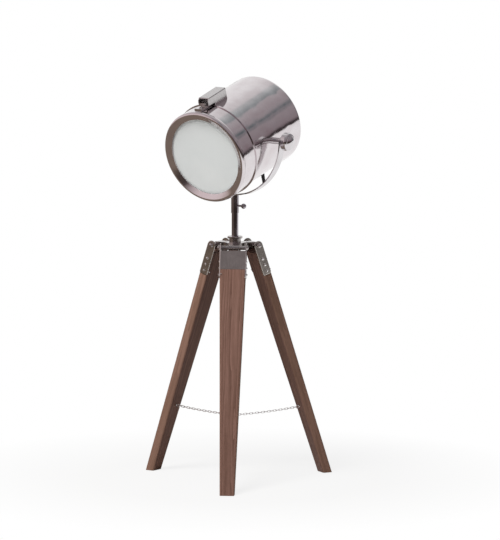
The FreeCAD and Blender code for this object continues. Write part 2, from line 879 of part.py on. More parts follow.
def tilt_knob(name):
    """Chrome knob on a threaded stud: the stud reaches through the yoke into the drum's boss."""
    body = new_body(name)
    stud = s.stud_d / 2
    face = yoke_r + s.washer_thick + s.knob_gap
    wide = s.knob_d / 2
    flare = face + s.knob_flare
    rim = flare + s.knob_rim
    crown = s.knob_crown_r
    dome_r = (crown * crown + s.knob_dome * s.knob_dome) / (s.knob_dome * 2)
    corner = wide - crown
    turn(body, [
        (0, boss_inner), (stud, boss_inner), (stud, face), (s.knob_base_d / 2, face),
        (wide, flare), (wide, rim), (crown, rim + corner, (crown, rim), 1),
        (0, rim + corner + s.knob_dome, (Size(0), rim + corner + s.knob_dome - dome_r), 1),
    ])
    return body


keep(sleeve(), at(z=sleeve_foot) * spin("Z", s.head_pan))
keep(thumb_screw(), at(z=sleeve_foot + s.thumb_height) * spin("Z", s.head_pan) * Z_TO_X)
keep(yoke_strap(), turret)
yoke_screw = domed_pin("yoke_screw", s.yoke_screw_head_d / 2, s.yoke_screw_head_high, s.yoke_screw_d / 2,
                       s.yoke_screw_long)
screw_seat = leg_of(yoke_r - s.yoke_thick, s.yoke_screw_head_d / 2) - s.seat_gap
keep(yoke_screw, turret * at(z=-screw_seat) * Z_TO_MINUS_Z)
keep(friction_washers(), turret * Z_TO_X)
keep(tilt_knob("tilt_knob_right"), turret * Z_TO_X)
keep(tilt_knob("tilt_knob_left"), turret * Z_TO_MINUS_X)


# ---------------------------------------------------------------- drum and what is fixed to it
gland_bore_d = s.gland_neck_d + s.seat_gap * 2


def drum_shell():
    """Spun drum: a can with a rounded back edge, open at the front."""
    body = new_body("drum_shell")
    edge = s.drum_edge_r
    flat = s.drum_r - edge
    length = s.drum_back + s.drum_front
    turn(body, [
        (0, 0), (flat, 0), (s.drum_r, edge, (flat, edge), 1), (s.drum_r, length),
        (drum_inside, length), (drum_inside, edge), (flat, s.drum_wall, (flat, edge), -1), (0, s.drum_wall),
    ])
    cut(body, "YZ_Plane", lambda sk: ring(sk, 0, s.drum_back, s.stud_d + s.seat_gap * 4))
    cut(body, "XZ_Plane", lambda sk: ring(sk, 0, s.drum_back - s.gland_back, gland_bore_d), "along")

    def screws(sketch):
        for sign in (1, -1):
            ring(sketch, s.bracket_screw_at * sign, 0, s.bracket_screw_d + s.screw_fit * 2)

    cut(body, "XY_Plane", screws)
    return body


def pivot_bosses():
    body = new_body("pivot_bosses")
    bore = s.stud_d / 2 + s.stud_run_fit
    boss = turn(body, [
        (bore, boss_inner), (s.boss_d / 2, boss_inner), (s.boss_d / 2, boss_face), (bore, boss_face),
    ])
    mirror(body, [boss], "XY_Plane")
    return body


def pivot_spacers():
    """Tubes on the studs that centre the drum between the yoke's arms."""
    body = new_body("pivot_spacers")
    bore = s.stud_d / 2 + s.stud_run_fit
    outer = s.pivot_spacer_d / 2
    near = s.drum_r + s.seat_gap
    far = yoke_r - s.yoke_thick - s.knob_gap
    spacer = turn(body, [(bore, near), (outer, near), (outer, far), (bore, far)])
    mirror(body, [spacer], "XY_Plane")
    return body


def cable_gland():
    """Rubber strain relief with ribs, through the drum's underside."""
    body = new_body("cable_gland")
    bore = s.gland_bore_d / 2
    neck = s.gland_neck_d / 2
    seat = s.drum_r + s.seat_gap
    foot = seat + s.gland_flange_high
    corners = [
        (bore, drum_inside - s.gland_tail), (neck, drum_inside - s.gland_tail),
        (neck, seat), (s.gland_flange_d / 2, seat), (s.gland_flange_d / 2, foot),
    ]
    ribs = int(s.gland_ribs.value)
    for i in range(ribs):
        share = Size(i / (ribs - 1))
        rib_r = s.gland_boot_d / 2 + (s.gland_tip_d - s.gland_boot_d) / 2 * share
        start = foot + s.gland_rib_pitch * i
        groove = rib_r * s.gland_groove_share
        step = start + s.gland_rib_pitch * s.gland_slot_share
        corners += [(groove, start), (groove, step), (rib_r, step), (rib_r, start + s.gland_rib_pitch)]
    corners.append((bore, foot + s.gland_rib_pitch * ribs))
    turn(body, corners)
    return body


def gland_nut():
    body = new_body("gland_nut")
    top = leg_of(drum_inside, s.gland_nut_d / 2) - s.seat_gap
    bore = s.gland_neck_d / 2 + s.seat_gap
    outer = s.gland_nut_d / 2
    low = top - s.gland_nut_high
    turn(body, [(bore, low), (outer, low), (outer, top), (bore, top)])
    return body


def reflector():
    """Half-round bowl with a flange that fits the drum."""
    body = new_body("reflector")
    outer = reflector_r
    inner = reflector_r - s.reflector_wall
    throat = s.reflector_throat_r
    rim = drum_inside - s.reflector_fit
    middle = (Size(0), Size(0))
    turn(body, [
        (throat, -leg_of(outer, throat)), (outer, 0, middle, 1), (rim, 0), (rim, s.reflector_wall),
        (inner, s.reflector_wall), (inner, 0), (throat, -leg_of(inner, throat), middle, -1),
    ])
    return body


def lamp_bracket():
    """Spun post between the drum's back and the lampholder."""
    body = new_body("lamp_bracket")
    plate = s.bracket_plate
    height = s.drum_back - s.drum_wall - s.holder_back
    post = s.bracket_post_d / 2
    turn(body, [
        (post - plate, 0), (s.bracket_flange_r, 0), (s.bracket_flange_r, plate), (post, plate),
        (post, height), (0, height), (0, height - plate), (post - plate, height - plate),
    ])

    def screws(sketch):
        for sign in (1, -1):
            ring(sketch, s.bracket_screw_at * sign, 0, s.bracket_screw_d + s.screw_fit * 2)

    cut(body, "XY_Plane", screws)
    return body


def bracket_screws():
    """Two screws through the drum's back into the bracket's flange."""
    body = new_body("bracket_screws")
    shank = s.bracket_screw_d / 2
    head_r = shank * 2
    long = s.drum_wall + s.bracket_plate
    sketch = new_sketch(body, "XZ_Plane")
    away = s.bracket_screw_at
    outline(sketch, [(away, -shank), (away + head_r, -s.seat_gap), (away + shank, -s.seat_gap),
                     (away + shank, long), (away, long)])
    screw = body.newObject("PartDesign::Revolution", "bracket_screws_turned")
    screw.Profile = sketch
    axis = sketch.addGeometry(Part.LineSegment(Vector(away.value, -10, 0), Vector(away.value, 10, 0)), True)
    fix(sketch, axis, 1, "X", away)
    fix(sketch, axis, 2, "X", away)
    screw.ReferenceAxis = (sketch, ["Axis0"])
    screw.Angle = 360
    doc.recompute()
    mirror(body, [screw], "YZ_Plane")
    return body


def lampholder():
    body = new_body("lampholder")
    outer = s.holder_d / 2
    bore = s.holder_bore_d / 2
    floor = s.holder_long - s.bulb_base_long - s.seat_gap
    turn(body, [
        (0, 0), (outer, 0), (outer, s.holder_long), (bore, s.holder_long), (bore, floor), (0, floor),
    ])
    return body


def bulb():
    """Screw base, a neck that widens and a round glass."""
    body = new_body("bulb")
    base = s.bulb_base_d / 2
    globe = s.bulb_d / 2
    centre = s.bulb_long - globe
    turn(body, [
        (0, 0), (base, 0), (base, s.bulb_base_long),
        (base + s.bulb_shoulder, s.bulb_base_long + s.bulb_shoulder_high),
        (s.bulb_waist_r, centre - leg_of(globe, s.bulb_waist_r)), (0, s.bulb_long, (Size(0), centre), 1),
    ])
    return body


gland_place = head * at(y=s.gland_back) * Z_TO_MINUS_Z
keep(drum_shell(), drum_axis(-s.drum_back))
keep(pivot_bosses(), head * Z_TO_X)
keep(pivot_spacers(), head * Z_TO_X)
keep(cable_gland(), gland_place)
keep(gland_nut(), gland_place)
keep(reflector(), drum_axis(s.reflector_at))
keep(lamp_bracket(), drum_axis(s.drum_wall - s.drum_back))
keep(bracket_screws(), drum_axis(-s.drum_back))
keep(lampholder(), drum_axis(-s.holder_back))
keep(bulb(), drum_axis(s.holder_long - s.holder_back - s.bulb_base_long))


# ---------------------------------------------------------------- front door
def door_ring():
    """Spun ring: rear lip, straight band, and a front rim that slopes in to the glass."""
    body = new_body("door_ring")
    rim = door_rim_r
    corner = s.door_rim_corner_r
    shoulder = s.door_deep - corner
    step = door_rim_r - door_band_r
    inside = door_band_r - s.door_wall
    turn(body, [
        (s.drum_r + s.door_lip_fit, 0), (door_lip_r, 0), (door_lip_r, s.door_lip_thick),
        (door_band_r, s.door_lip_thick), (door_band_r, shoulder - step * 4), (rim, shoulder),
        (rim - corner, s.door_deep, (rim - corner, shoulder), 1),
        (door_sight_r, s.door_sight_deep), (door_sight_r, s.glass_seat),
        (inside, s.glass_seat), (inside, s.door_lip_thick), (s.drum_r + s.door_lip_fit, s.door_lip_thick),
    ])
    return body


glass_front = s.glass_seat - s.gasket_thick
glass_back = glass_front - s.glass_thick


def flat_ring(name, outer_r, inner_r, low, high):
    body = new_body(name)
    turn(body, [(inner_r, low), (outer_r, low), (outer_r, high), (inner_r, high)])
    return body


def front_glass():
    body = new_body("front_glass")
    bevel = s.glass_thick / 4
    turn(body, [
        (0, glass_back), (glass_r - bevel, glass_back), (glass_r, glass_back + bevel),
        (glass_r, glass_front - bevel), (glass_r - bevel, glass_front), (0, glass_front),
    ])
    return body


door_axis = drum_axis(s.door_rear)
keep(door_ring(), door_axis)
keep(flat_ring("glass_gasket", glass_r, door_sight_r + s.seat_gap * 20, glass_front, s.glass_seat), door_axis)
keep(front_glass(), door_axis)
keep(flat_ring("glass_retainer", door_inside - s.retainer_fit, door_inside - s.retainer_width,
               glass_back - s.retainer_thick, glass_back), door_axis)


# ---------------------------------------------------------------- door hinge
barrel_r = s.hinge_barrel_d / 2
pin_hole = s.hinge_pin_d + s.pin_run_fit * 2
middle_half = s.hinge_knuckle / 2


def round_cut(body, radius):
    """Hollow the body's underside to the drum's or the door's round."""
    return cut(body, "XZ_Plane", lambda sk: ring(sk, 0, 0, radius * 2))


def drum_hinge_leaf():
    """Two knuckles and a leaf that is riveted under the drum's mouth."""
    body = new_body("drum_hinge_leaf")
    y0 = -s.door_rear
    z0 = -door_hinge_r
    width = s.hinge_knuckle * 3 + s.hinge_gap * 2
    leaf_low = -(s.drum_r + s.hinge_leaf_thick)
    back = y0 + s.hinge_leaf_long
    arm = y0 + barrel_r
    pad(body, "YZ_Plane", [
        (arm, z0 + s.hinge_leaf_thick), (back - s.hinge_leaf_thick, leaf_low), (back, leaf_low),
        (back, -drum_inside), (arm - s.hinge_leaf_thick, -drum_inside),
        (arm - s.hinge_leaf_thick, z0 + s.hinge_leaf_thick),
    ], width)
    knuckles = new_sketch(body, "YZ_Plane")
    ring(knuckles, y0, z0, s.hinge_barrel_d)
    barrel = body.newObject("PartDesign::Pad", "drum_hinge_leaf_barrel")
    barrel.Profile = knuckles
    barrel.SideType = "Symmetric"
    barrel.setExpression("Length", width.text)
    doc.recompute()
    round_cut(body, s.drum_r + s.seat_gap)
    gap = middle_half + s.hinge_gap
    low = z0 - s.hinge_barrel_d
    cut(body, "XZ_Plane", lambda sk: outline(sk, [
        (-gap, low), (gap, low), (gap, leaf_low - s.hinge_gap), (-gap, leaf_low - s.hinge_gap)]))
    cut(body, "YZ_Plane", lambda sk: ring(sk, y0, z0, pin_hole))
    return body


def door_hinge_leaf():
    """Middle knuckle and a leaf under the door's band, clear of its lip."""
    body = new_body("door_hinge_leaf")
    y0 = -s.door_rear
    z0 = -door_hinge_r
    lip = -(door_lip_r + s.seat_gap)
    front = y0 - s.hinge_leaf_long - barrel_r
    foot_back = y0 - s.door_lip_thick - s.seat_gap
    pad(body, "YZ_Plane", [
        (front, lip - s.hinge_leaf_thick), (y0, lip - s.hinge_leaf_thick), (y0, lip),
        (foot_back, lip), (foot_back, -door_inside), (front, -door_inside),
    ], s.hinge_knuckle)
    knuckle = new_sketch(body, "YZ_Plane")
    ring(knuckle, y0, z0, s.hinge_barrel_d)
    barrel = body.newObject("PartDesign::Pad", "door_hinge_leaf_barrel")
    barrel.Profile = knuckle
    barrel.SideType = "Symmetric"
    barrel.setExpression("Length", s.hinge_knuckle.text)
    doc.recompute()
    round_cut(body, door_band_r + s.seat_gap)
    cut(body, "YZ_Plane", lambda sk: ring(sk, y0, z0, pin_hole))
    return body


def cross_pin(name, diameter, length):
    """A plain pin that lies along X."""
    pin = doc.addObject("Part::Cylinder", name)
    pin.Label = name
    pin.setExpression("Radius", (diameter / 2).text)
    pin.setExpression("Height", length.text)
    doc.recompute()
    return pin


keep(drum_hinge_leaf(), head)
keep(door_hinge_leaf(), head)
hinge_pin_long = s.hinge_knuckle * 3 + s.hinge_gap * 2
keep(cross_pin("door_hinge_pin", s.hinge_pin_d, hinge_pin_long),
     head * at(x=-hinge_pin_long / 2, y=-s.door_rear, z=-door_hinge_r) * Z_TO_X)


# ---------------------------------------------------------------- spring catch on top
catch_front = -(s.door_rear - s.lip_clear)
catch_top = s.drum_r + s.catch_base_thick
half_hood = s.catch_width / 2
hood_inside = half_hood - s.catch_wall
post_front = -(s.door_rear + s.catch_reach)
post_top = door_band_r + s.keeper_thick + s.keeper_post


def catch_base():
    """Plate on the drum that the hood and the leaf spring are fixed to."""
    body = new_body("catch_base")
    back = catch_front + s.catch_base_long
    pad(body, "YZ_Plane", [
        (catch_front, drum_inside), (back, drum_inside), (back, catch_top), (catch_front, catch_top),
    ], (hood_inside - s.seat_gap) * 2)
    round_cut(body, s.drum_r + s.seat_gap)

    def rivets(sketch):
        for sign in (1, -1):
            ring(sketch, s.rivet_apart / 2 * sign, catch_front + s.rivet_back, s.rivet_d + s.seat_gap * 2)

    cut(body, "XY_Plane", rivets)
    return body


def catch_hood():
    """Pressed hood: two cheeks and a roof, reaching forward over the door's lip."""
    body = new_body("catch_hood")
    back = catch_front + s.catch_base_long
    nose = post_front
    low = door_lip_r + s.lip_clear
    roof = s.drum_r + s.catch_high
    drop = s.catch_nose_drop
    pad(body, "YZ_Plane", [
        (nose, low), (catch_front, low), (catch_front, drum_inside), (back, drum_inside),
        (back, roof), (nose + drop, roof), (nose, roof - drop),
    ], s.catch_width)
    round_edges(body, s.catch_wall, lambda e: e.Length > s.catch_base_long.value * 0.9
                and e.CenterOfMass.z > roof.value - 1e-3)

    def channel(sketch):
        floor = drum_inside - s.catch_wall
        top = roof - s.catch_wall
        corners = [(-hood_inside, floor), (hood_inside, floor), (hood_inside, top), (-hood_inside, top)]
        outline(sketch, corners)

    cut(body, "XZ_Plane", channel)
    round_cut(body, s.drum_r + s.seat_gap)
    return body


def catch_spring():
    """Leaf spring: riveted at the back, it hooks over the keeper and ends in a thumb tab."""
    body = new_body("catch_spring")
    thick = s.leaf_thick
    back = catch_front + s.catch_base_long - s.lip_clear
    foot = catch_front + s.leaf_foot
    ramp = foot - s.leaf_ramp
    high = post_top + s.hinge_gap
    hook = post_front - s.hinge_gap
    tip = high - s.leaf_hook
    tab = s.leaf_tab
    pad(body, "YZ_Plane", [
        (back, catch_top), (foot, catch_top), (ramp, high), (hook, high), (hook, tip), (hook - thick, tip),
        (hook - thick, high), (hook - tab, high + tab / 2), (hook - tab, high + tab / 2 + thick),
        (hook - thick, high + thick), (ramp, high + thick), (foot, catch_top + thick),
        (back, catch_top + thick),
    ], s.leaf_width)

    def rivets(sketch):
        for sign in (1, -1):
            ring(sketch, s.rivet_apart / 2 * sign, catch_front + s.rivet_back, s.rivet_d + s.seat_gap * 2)

    cut(body, "XY_Plane", rivets)
    return body


def catch_rivets():
    """Two round-head rivets through the leaf and the base."""
    body = new_body("catch_rivets")
    sketch = new_sketch(body, "XZ_Plane")
    away = s.rivet_apart / 2
    shank = s.rivet_d / 2
    seat = catch_top + s.leaf_thick + s.seat_gap
    head_r = shank * 2
    outline(sketch, [
        (away, s.drum_r + s.seat_gap * 2), (away + shank, s.drum_r + s.seat_gap * 2), (away + shank, seat),
        (away + head_r, seat), (away, seat + head_r, (away, seat), 1),
    ])
    axis = sketch.addGeometry(Part.LineSegment(Vector(away.value, 0, 0), Vector(away.value, 10, 0)), True)
    fix(sketch, axis, 1, "X", away)
    fix(sketch, axis, 2, "X", away)
    rivet = body.newObject("PartDesign::Revolution", "catch_rivets_turned")
    rivet.Profile = sketch
    rivet.ReferenceAxis = (sketch, ["Axis0"])
    rivet.Angle = 360
    doc.recompute()
    mirror(body, [rivet], "YZ_Plane")
    return body


def catch_keeper():
    """Plate on the door's band with the post that the leaf hooks over, and a finger tab."""
    body = new_body("catch_keeper")
    back = -(s.door_rear + s.door_lip_thick + s.lip_clear)
    front = back - s.keeper_long
    base = door_band_r + s.keeper_thick
    slant = s.keeper_post / 2
    tab = front + s.keeper_tab_thick
    pad(body, "YZ_Plane", [
        (front, door_inside), (back, door_inside), (back, base), (post_front + slant * 2, base),
        (post_front + slant, post_top), (post_front, post_top), (post_front, base),
        (tab, base), (tab, base + s.keeper_tab_high), (front, base + s.keeper_tab_high),
    ], s.keeper_width)
    round_cut(body, door_rim_r + s.seat_gap)
    cut(body, "XY_Plane", lambda sk: ring(sk, 0, post_front - s.keeper_screw_ahead,
                                          s.keeper_screw_d + s.seat_gap * 2))
    return body


def keeper_screw():
    """Round-head screw through the keeper."""
    return domed_pin("keeper_screw", s.keeper_screw_d, s.keeper_screw_head_high, s.keeper_screw_d / 2,
                     s.keeper_thick - s.seat_gap * 4)


keep(catch_base(), head)
keep(catch_hood(), head)
keep(catch_spring(), head)
keep(catch_rivets(), head * at(y=catch_front + s.rivet_back))
keep(catch_keeper(), head)
keep(keeper_screw(), head * at(y=post_front - s.keeper_screw_ahead,
                               z=door_band_r + s.keeper_thick + s.seat_gap) * Z_TO_MINUS_Z)

# ---------------------------------------------------------------- check and write
doc.recompute()
for item in doc.Objects:
    if {"Invalid", "Error"} & set(item.State):
        raise RuntimeError(f"{item.Name} failed: {item.State}")
for name, item in nodes.items():
    if item.Shape.isNull() or not item.Shape.isValid() or not item.Shape.Solids:
        raise RuntimeError(f"{name} has no valid solid")
for name, item in nodes.items():
    item.Shape.exportStep(f"parts/{name}.step")
print(len(nodes), "nodes,", sum(len(item.Shape.Solids) for item in nodes.values()), "solids")
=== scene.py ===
import bmesh
import bpy
import math
from mathutils import Matrix, Vector


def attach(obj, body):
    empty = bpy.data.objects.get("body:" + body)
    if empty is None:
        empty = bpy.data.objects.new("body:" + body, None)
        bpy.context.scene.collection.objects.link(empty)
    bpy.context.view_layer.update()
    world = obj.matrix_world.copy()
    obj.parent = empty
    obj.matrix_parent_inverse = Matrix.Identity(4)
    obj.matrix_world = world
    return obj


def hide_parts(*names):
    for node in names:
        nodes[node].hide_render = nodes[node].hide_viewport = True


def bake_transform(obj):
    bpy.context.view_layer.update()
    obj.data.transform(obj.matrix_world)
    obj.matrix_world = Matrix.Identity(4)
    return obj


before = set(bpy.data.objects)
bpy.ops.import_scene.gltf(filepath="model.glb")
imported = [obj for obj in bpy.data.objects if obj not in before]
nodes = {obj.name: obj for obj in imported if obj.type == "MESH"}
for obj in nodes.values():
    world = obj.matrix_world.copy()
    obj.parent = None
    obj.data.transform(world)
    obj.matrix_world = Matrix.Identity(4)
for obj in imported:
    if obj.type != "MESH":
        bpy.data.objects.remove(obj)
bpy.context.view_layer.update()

# ---------------------------------------------------------------- hub of the tripod
# A casting with three lugs, turned on the core and neck, then polished and nickel plated.
# A bevelled flange sits on its neck and a nut under it holds the pole.


def hexed(code):
    """An sRGB hex colour as linear red, green, blue and alpha."""
    parts = [int(code[i:i + 2], 16) / 255 for i in (1, 3, 5)]
    return [c / 12.92 if c <= 0.04045 else ((c + 0.055) / 1.055) ** 2.4 for c in parts] + [1.0]


def feed(node, inputs):
    """Sets a node's inputs to values, or links other nodes' outputs to them."""
    for key, value in inputs.items():
        if isinstance(value, bpy.types.NodeSocket):
            node.id_data.links.new(value, node.inputs[key])
        else:
            node.inputs[key].default_value = value


def add(tree, kind, inputs=None, stops=None, **settings):
    """Adds a node with its settings, its inputs and a ramp's stops as {place: hex}."""
    node = tree.nodes.new(kind)
    for name, value in settings.items():
        setattr(node, name, value)
    feed(node, inputs or {})
    if stops:
        places = sorted(stops)
        ramp = node.color_ramp.elements
        while len(ramp) < len(places):
            ramp.new(0.5)
        for element, place in zip(ramp, places):
            element.position = place
            element.color = hexed(stops[place])
    return node


def finish_of(name):
    """A new material: (material, node tree, shader, the object's own coordinates)."""
    material = bpy.data.materials.new(name)
    material.use_nodes = True
    tree = material.node_tree
    tree.nodes.clear()
    shader = add(tree, "ShaderNodeBsdfPrincipled")
    add(tree, "ShaderNodeOutputMaterial", {"Surface": shader.outputs["BSDF"]})
    return material, tree, shader, add(tree, "ShaderNodeTexCoord").outputs["Object"]


def dress(material, *names):
    """Gives CAD nodes this material."""
    for name in names:
        mesh = nodes[name].data
        mesh.materials.clear()
        mesh.materials.append(material)


# Polished nickel: yellower and darker than chrome, with polishing haze.
nickel, tree, shader, place = finish_of("polished_nickel_casting")
haze = add(tree, "ShaderNodeTexNoise", {"Vector": place, "Scale": 90, "Detail": 5})
tone = add(tree, "ShaderNodeValToRGB", {"Fac": haze.outputs["Fac"]},
           {0.3: "#A09A98", 0.7: "#C2BCBA"})
gloss = add(tree, "ShaderNodeMapRange",
            {"Value": haze.outputs["Fac"], "To Min": 0.14, "To Max": 0.30})
pits = add(tree, "ShaderNodeTexNoise", {"Vector": place, "Scale": 1400, "Detail": 2})
relief = add(tree, "ShaderNodeBump",
             {"Height": pits.outputs["Fac"], "Strength": 0.12, "Distance": 0.0002})
feed(shader, {"Metallic": 1.0, "Base Color": tone.outputs["Color"],
              "Roughness": gloss.outputs["Result"], "Normal": relief.outputs["Normal"]})
dress(nickel, "hub", "hub_flange")

# Zinc-plated steel: bluish grey with the mottle of the bath.
zinc, tree, shader, place = finish_of("zinc_plated_steel")
mottle = add(tree, "ShaderNodeTexVoronoi", {"Vector": place, "Scale": 260})
tone = add(tree, "ShaderNodeValToRGB", {"Fac": mottle.outputs["Distance"]},
           {0.0: "#7E8184", 1.0: "#B3B5B7"})
feed(shader, {"Metallic": 1.0, "Roughness": 0.38, "Base Color": tone.outputs["Color"]})
dress(zinc, "pole_nut", "gland_nut", "bracket_screws", "lamp_bracket", "pivot_bosses",
      "glass_retainer", "friction_washers")

# ---------------------------------------------------------------- legs
# Flat tapered boards of plain-sawn hardwood, stained dark walnut and lacquered satin.
# Their long edges are rounded over and sanded through a little, their feet are cut level.
LEGS = {"front": -90, "right": 30, "left": 150}
HINGE_HIGH = 0.579
HINGE_R = 0.0487
FOOT_R = 0.2455
SPLAY = math.atan2(FOOT_R - HINGE_R, HINGE_HIGH)
BOARD_TOP_HALF = 0.033
BOARD_FOOT_HALF = 0.0173
BOARD_TAPER_TOP = 0.018
BOARD_DROP = 0.6339
SANDED_WIDTH = 0.0032


def leg_place(azimuth):
    """A leg's hinge and the turn of its own axes: X along the hinge, Y outwards, Z up the board."""
    turn = math.radians(azimuth)
    hinge = (HINGE_R * math.cos(turn), HINGE_R * math.sin(turn), HINGE_HIGH)
    return hinge, (SPLAY, 0, math.radians(azimuth - 90))


def own_axes(tree, place, origin, turn):
    """Coordinates in a piece's own axes, so that a pattern follows the piece."""
    return add(tree, "ShaderNodeMapping", {"Vector": place, "Location": origin, "Rotation": turn},
               vector_type="TEXTURE").outputs["Vector"]


for side, azimuth in LEGS.items():
    walnut, tree, shader, place = finish_of(f"walnut_stained_board_{side}")
    own = own_axes(tree, place, *leg_place(azimuth))
    # growth rings cut at a slant: bands about 9 mm apart that wander along the board
    along = add(tree, "ShaderNodeMapping", {"Vector": own, "Scale": (1, 1, 0.045),
                                            "Location": (0.3 * azimuth / 150, 0.1, 0)})
    wander = add(tree, "ShaderNodeTexNoise",
                 {"Vector": along.outputs["Vector"], "Scale": 42, "Detail": 3})
    swap = add(tree, "ShaderNodeVectorMath", {0: wander.outputs["Color"], 1: (0.055, 0.055, 0.0),
                                              2: along.outputs["Vector"]}, operation="MULTIPLY_ADD")
    rings = add(tree, "ShaderNodeTexWave",
                {"Vector": swap.outputs["Vector"], "Scale": 34, "Distortion": 1.5, "Detail": 2},
                bands_direction="X", wave_profile="SAW")
    # fibres, up to two millimetres wide and four centimetres long
    fibres = add(tree, "ShaderNodeTexNoise",
                 {"Vector": along.outputs["Vector"], "Scale": 520, "Detail": 6, "Roughness": 0.65})
    pores = add(tree, "ShaderNodeTexNoise",
                {"Vector": along.outputs["Vector"], "Scale": 1500, "Detail": 2})
    figure = add(tree, "ShaderNodeMix",
                 {"Factor": 0.6, "A": rings.outputs["Fac"], "B": fibres.outputs["Fac"]})
    stain = add(tree, "ShaderNodeValToRGB", {"Fac": figure.outputs["Result"]},
                {0.15: "#5C4239", 0.42: "#73564B", 0.62: "#806156", 0.9: "#937165"})
    open_pore = add(tree, "ShaderNodeMapRange", {"Value": pores.outputs["Fac"], "From Min": 0.30,
                                                 "From Max": 0.42, "To Min": 0.8, "To Max": 1.0})
    pored = add(tree, "ShaderNodeMix",
                {"Factor": 1.0, "A": stain.outputs["Color"], "B": open_pore.outputs["Result"]},
                data_type="RGBA", blend_type="MULTIPLY")
    grain = add(tree, "ShaderNodeBump",
                {"Height": fibres.outputs["Fac"], "Strength": 0.18, "Distance": 0.0004})
    # sanded edges: the stain is thinner within 3 mm of the board's long edges
    apart = add(tree, "ShaderNodeSeparateXYZ", {"Vector": own})
    across = add(tree, "ShaderNodeMath", {0: apart.outputs["X"]}, operation="ABSOLUTE")
    half = add(tree, "ShaderNodeMapRange",
               {"Value": apart.outputs["Z"], "From Min": -BOARD_TAPER_TOP, "From Max": -BOARD_DROP,
                "To Min": BOARD_TOP_HALF, "To Max": BOARD_FOOT_HALF})
    inset = add(tree, "ShaderNodeMath", {0: half.outputs["Result"], 1: across.outputs["Value"]},
                operation="SUBTRACT")
    worn = add(tree, "ShaderNodeMapRange",
               {"Value": inset.outputs["Value"], "From Min": SANDED_WIDTH, "From Max": 0.0,
                "To Min": 0.0, "To Max": 0.35})
    edged = add(tree, "ShaderNodeMix",
                {"Factor": worn.outputs["Result"], "A": pored.outputs["Result"],
                 "B": hexed("#A98570")}, data_type="RGBA")
    feed(shader,
         {"Roughness": 0.58, "Specular IOR Level": 0.1, "Base Color": edged.outputs["Result"],
          "Normal": grain.outputs["Normal"]})
    dress(walnut, f"leg_{side}_board")

# ---------------------------------------------------------------- leg caps and hinges
# Sheet steel folded to a U over the board's top, satin nickel plated, with a highlight painted
# along its bent edges.
# A bolt with a domed head and a cap nut carries each leg on its lug, between two spacer tubes.
CAP_HALF = 0.0327
CAP_THICK_HALF = 0.0115
# how far in from the cap's corner edges the painted highlight starts and where it is full
HIGHLIGHT_FROM = 0.0024
HIGHLIGHT_TO = 0.0008
for side, azimuth in LEGS.items():
    satin, tree, shader, place = finish_of(f"satin_nickel_cap_{side}")
    own = own_axes(tree, place, *leg_place(azimuth))
    # brushed down the leg: the lines are drawn 0.6 mm apart, coarser than real, so that they show
    strokes = add(tree, "ShaderNodeMapping", {"Vector": own, "Scale": (1, 1, 0.03)})
    brushed = add(tree, "ShaderNodeTexNoise",
                  {"Vector": strokes.outputs["Vector"], "Scale": 1700, "Detail": 3})
    cloudy = add(tree, "ShaderNodeTexNoise", {"Vector": own, "Scale": 55, "Detail": 3})
    blended = add(tree, "ShaderNodeMix",
                  {"Factor": 0.5, "A": brushed.outputs["Fac"], "B": cloudy.outputs["Fac"]})
    tone = add(tree, "ShaderNodeValToRGB", {"Fac": blended.outputs["Result"]},
               {0.3: "#A6A09A", 0.7: "#C3BDB7"})
    # a painted highlight, near white, along the cap's corner edges where the folds catch the light
    apart = add(tree, "ShaderNodeSeparateXYZ", {"Vector": own})
    across = add(tree, "ShaderNodeMath", {0: apart.outputs["X"]}, operation="ABSOLUTE")
    near_side = add(tree, "ShaderNodeMapRange",
                    {"Value": across.outputs["Value"], "From Min": CAP_HALF - HIGHLIGHT_FROM,
                     "From Max": CAP_HALF - HIGHLIGHT_TO})
    near_face = add(tree, "ShaderNodeMapRange",
                    {"Value": apart.outputs["Y"], "From Min": CAP_THICK_HALF - HIGHLIGHT_FROM,
                     "From Max": CAP_THICK_HALF - HIGHLIGHT_TO})
    highlight_mask = add(tree, "ShaderNodeMath",
               {0: near_side.outputs["Result"], 1: near_face.outputs["Result"]},
               operation="MULTIPLY")
    painted_highlight = add(tree, "ShaderNodeMix",
                 {"Factor": highlight_mask.outputs["Value"], "A": tone.outputs["Color"],
                  "B": hexed("#EDE9E6")}, data_type="RGBA")
    gloss = add(tree, "ShaderNodeMapRange",
                {"Value": brushed.outputs["Fac"], "To Min": 0.16, "To Max": 0.28})
    relief = add(tree, "ShaderNodeBump",
                 {"Height": brushed.outputs["Fac"], "Strength": 0.15, "Distance": 0.0002})
    feed(shader, {"Metallic": 1.0, "Base Color": painted_highlight.outputs["Result"],
                  "Roughness": gloss.outputs["Result"], "Normal": relief.outputs["Normal"]})
    dress(satin, f"leg_{side}_cap")
    dress(nickel, f"leg_{side}_hinge_bolt", f"leg_{side}_hinge_nut", f"leg_{side}_hinge_spacers")

# ---------------------------------------------------------------- screws of the leg caps
# Round-head machine screws with a cross recess, three down each cheek, pressed from steel wire,
# nickel plated and driven into the board.
SCREW_HEAD_R = 0.0038
SCREW_HEAD_HIGH = 0.0024
SCREW_SHANK = [(0.0018, 0), (0.0018, -0.0135), (0.0009, -0.0155), (0, -0.0162)]
RECESS = (0.0032, 0.0006, 0.0026)
DOME_STEPS = 8
SCREW_SIDES = 20
SCREWS_DOWN = 3
FIRST_SCREW = -0.035
SCREW_PITCH = 0.016
SCREW_TWIST = 0.6

# Bright nickel: freshly plated small parts, hardly worn.
bright, tree, shader, place = finish_of("bright_nickel_plate")
wear = add(tree, "ShaderNodeTexNoise", {"Vector": place, "Scale": 400, "Detail": 2})
tone = add(tree, "ShaderNodeValToRGB", {"Fac": wear.outputs["Fac"]},
           {0.3: "#E2E0DF", 0.7: "#F6F5F3"})
feed(shader, {"Metallic": 1.0, "Roughness": 0.25, "Base Color": tone.outputs["Color"]})


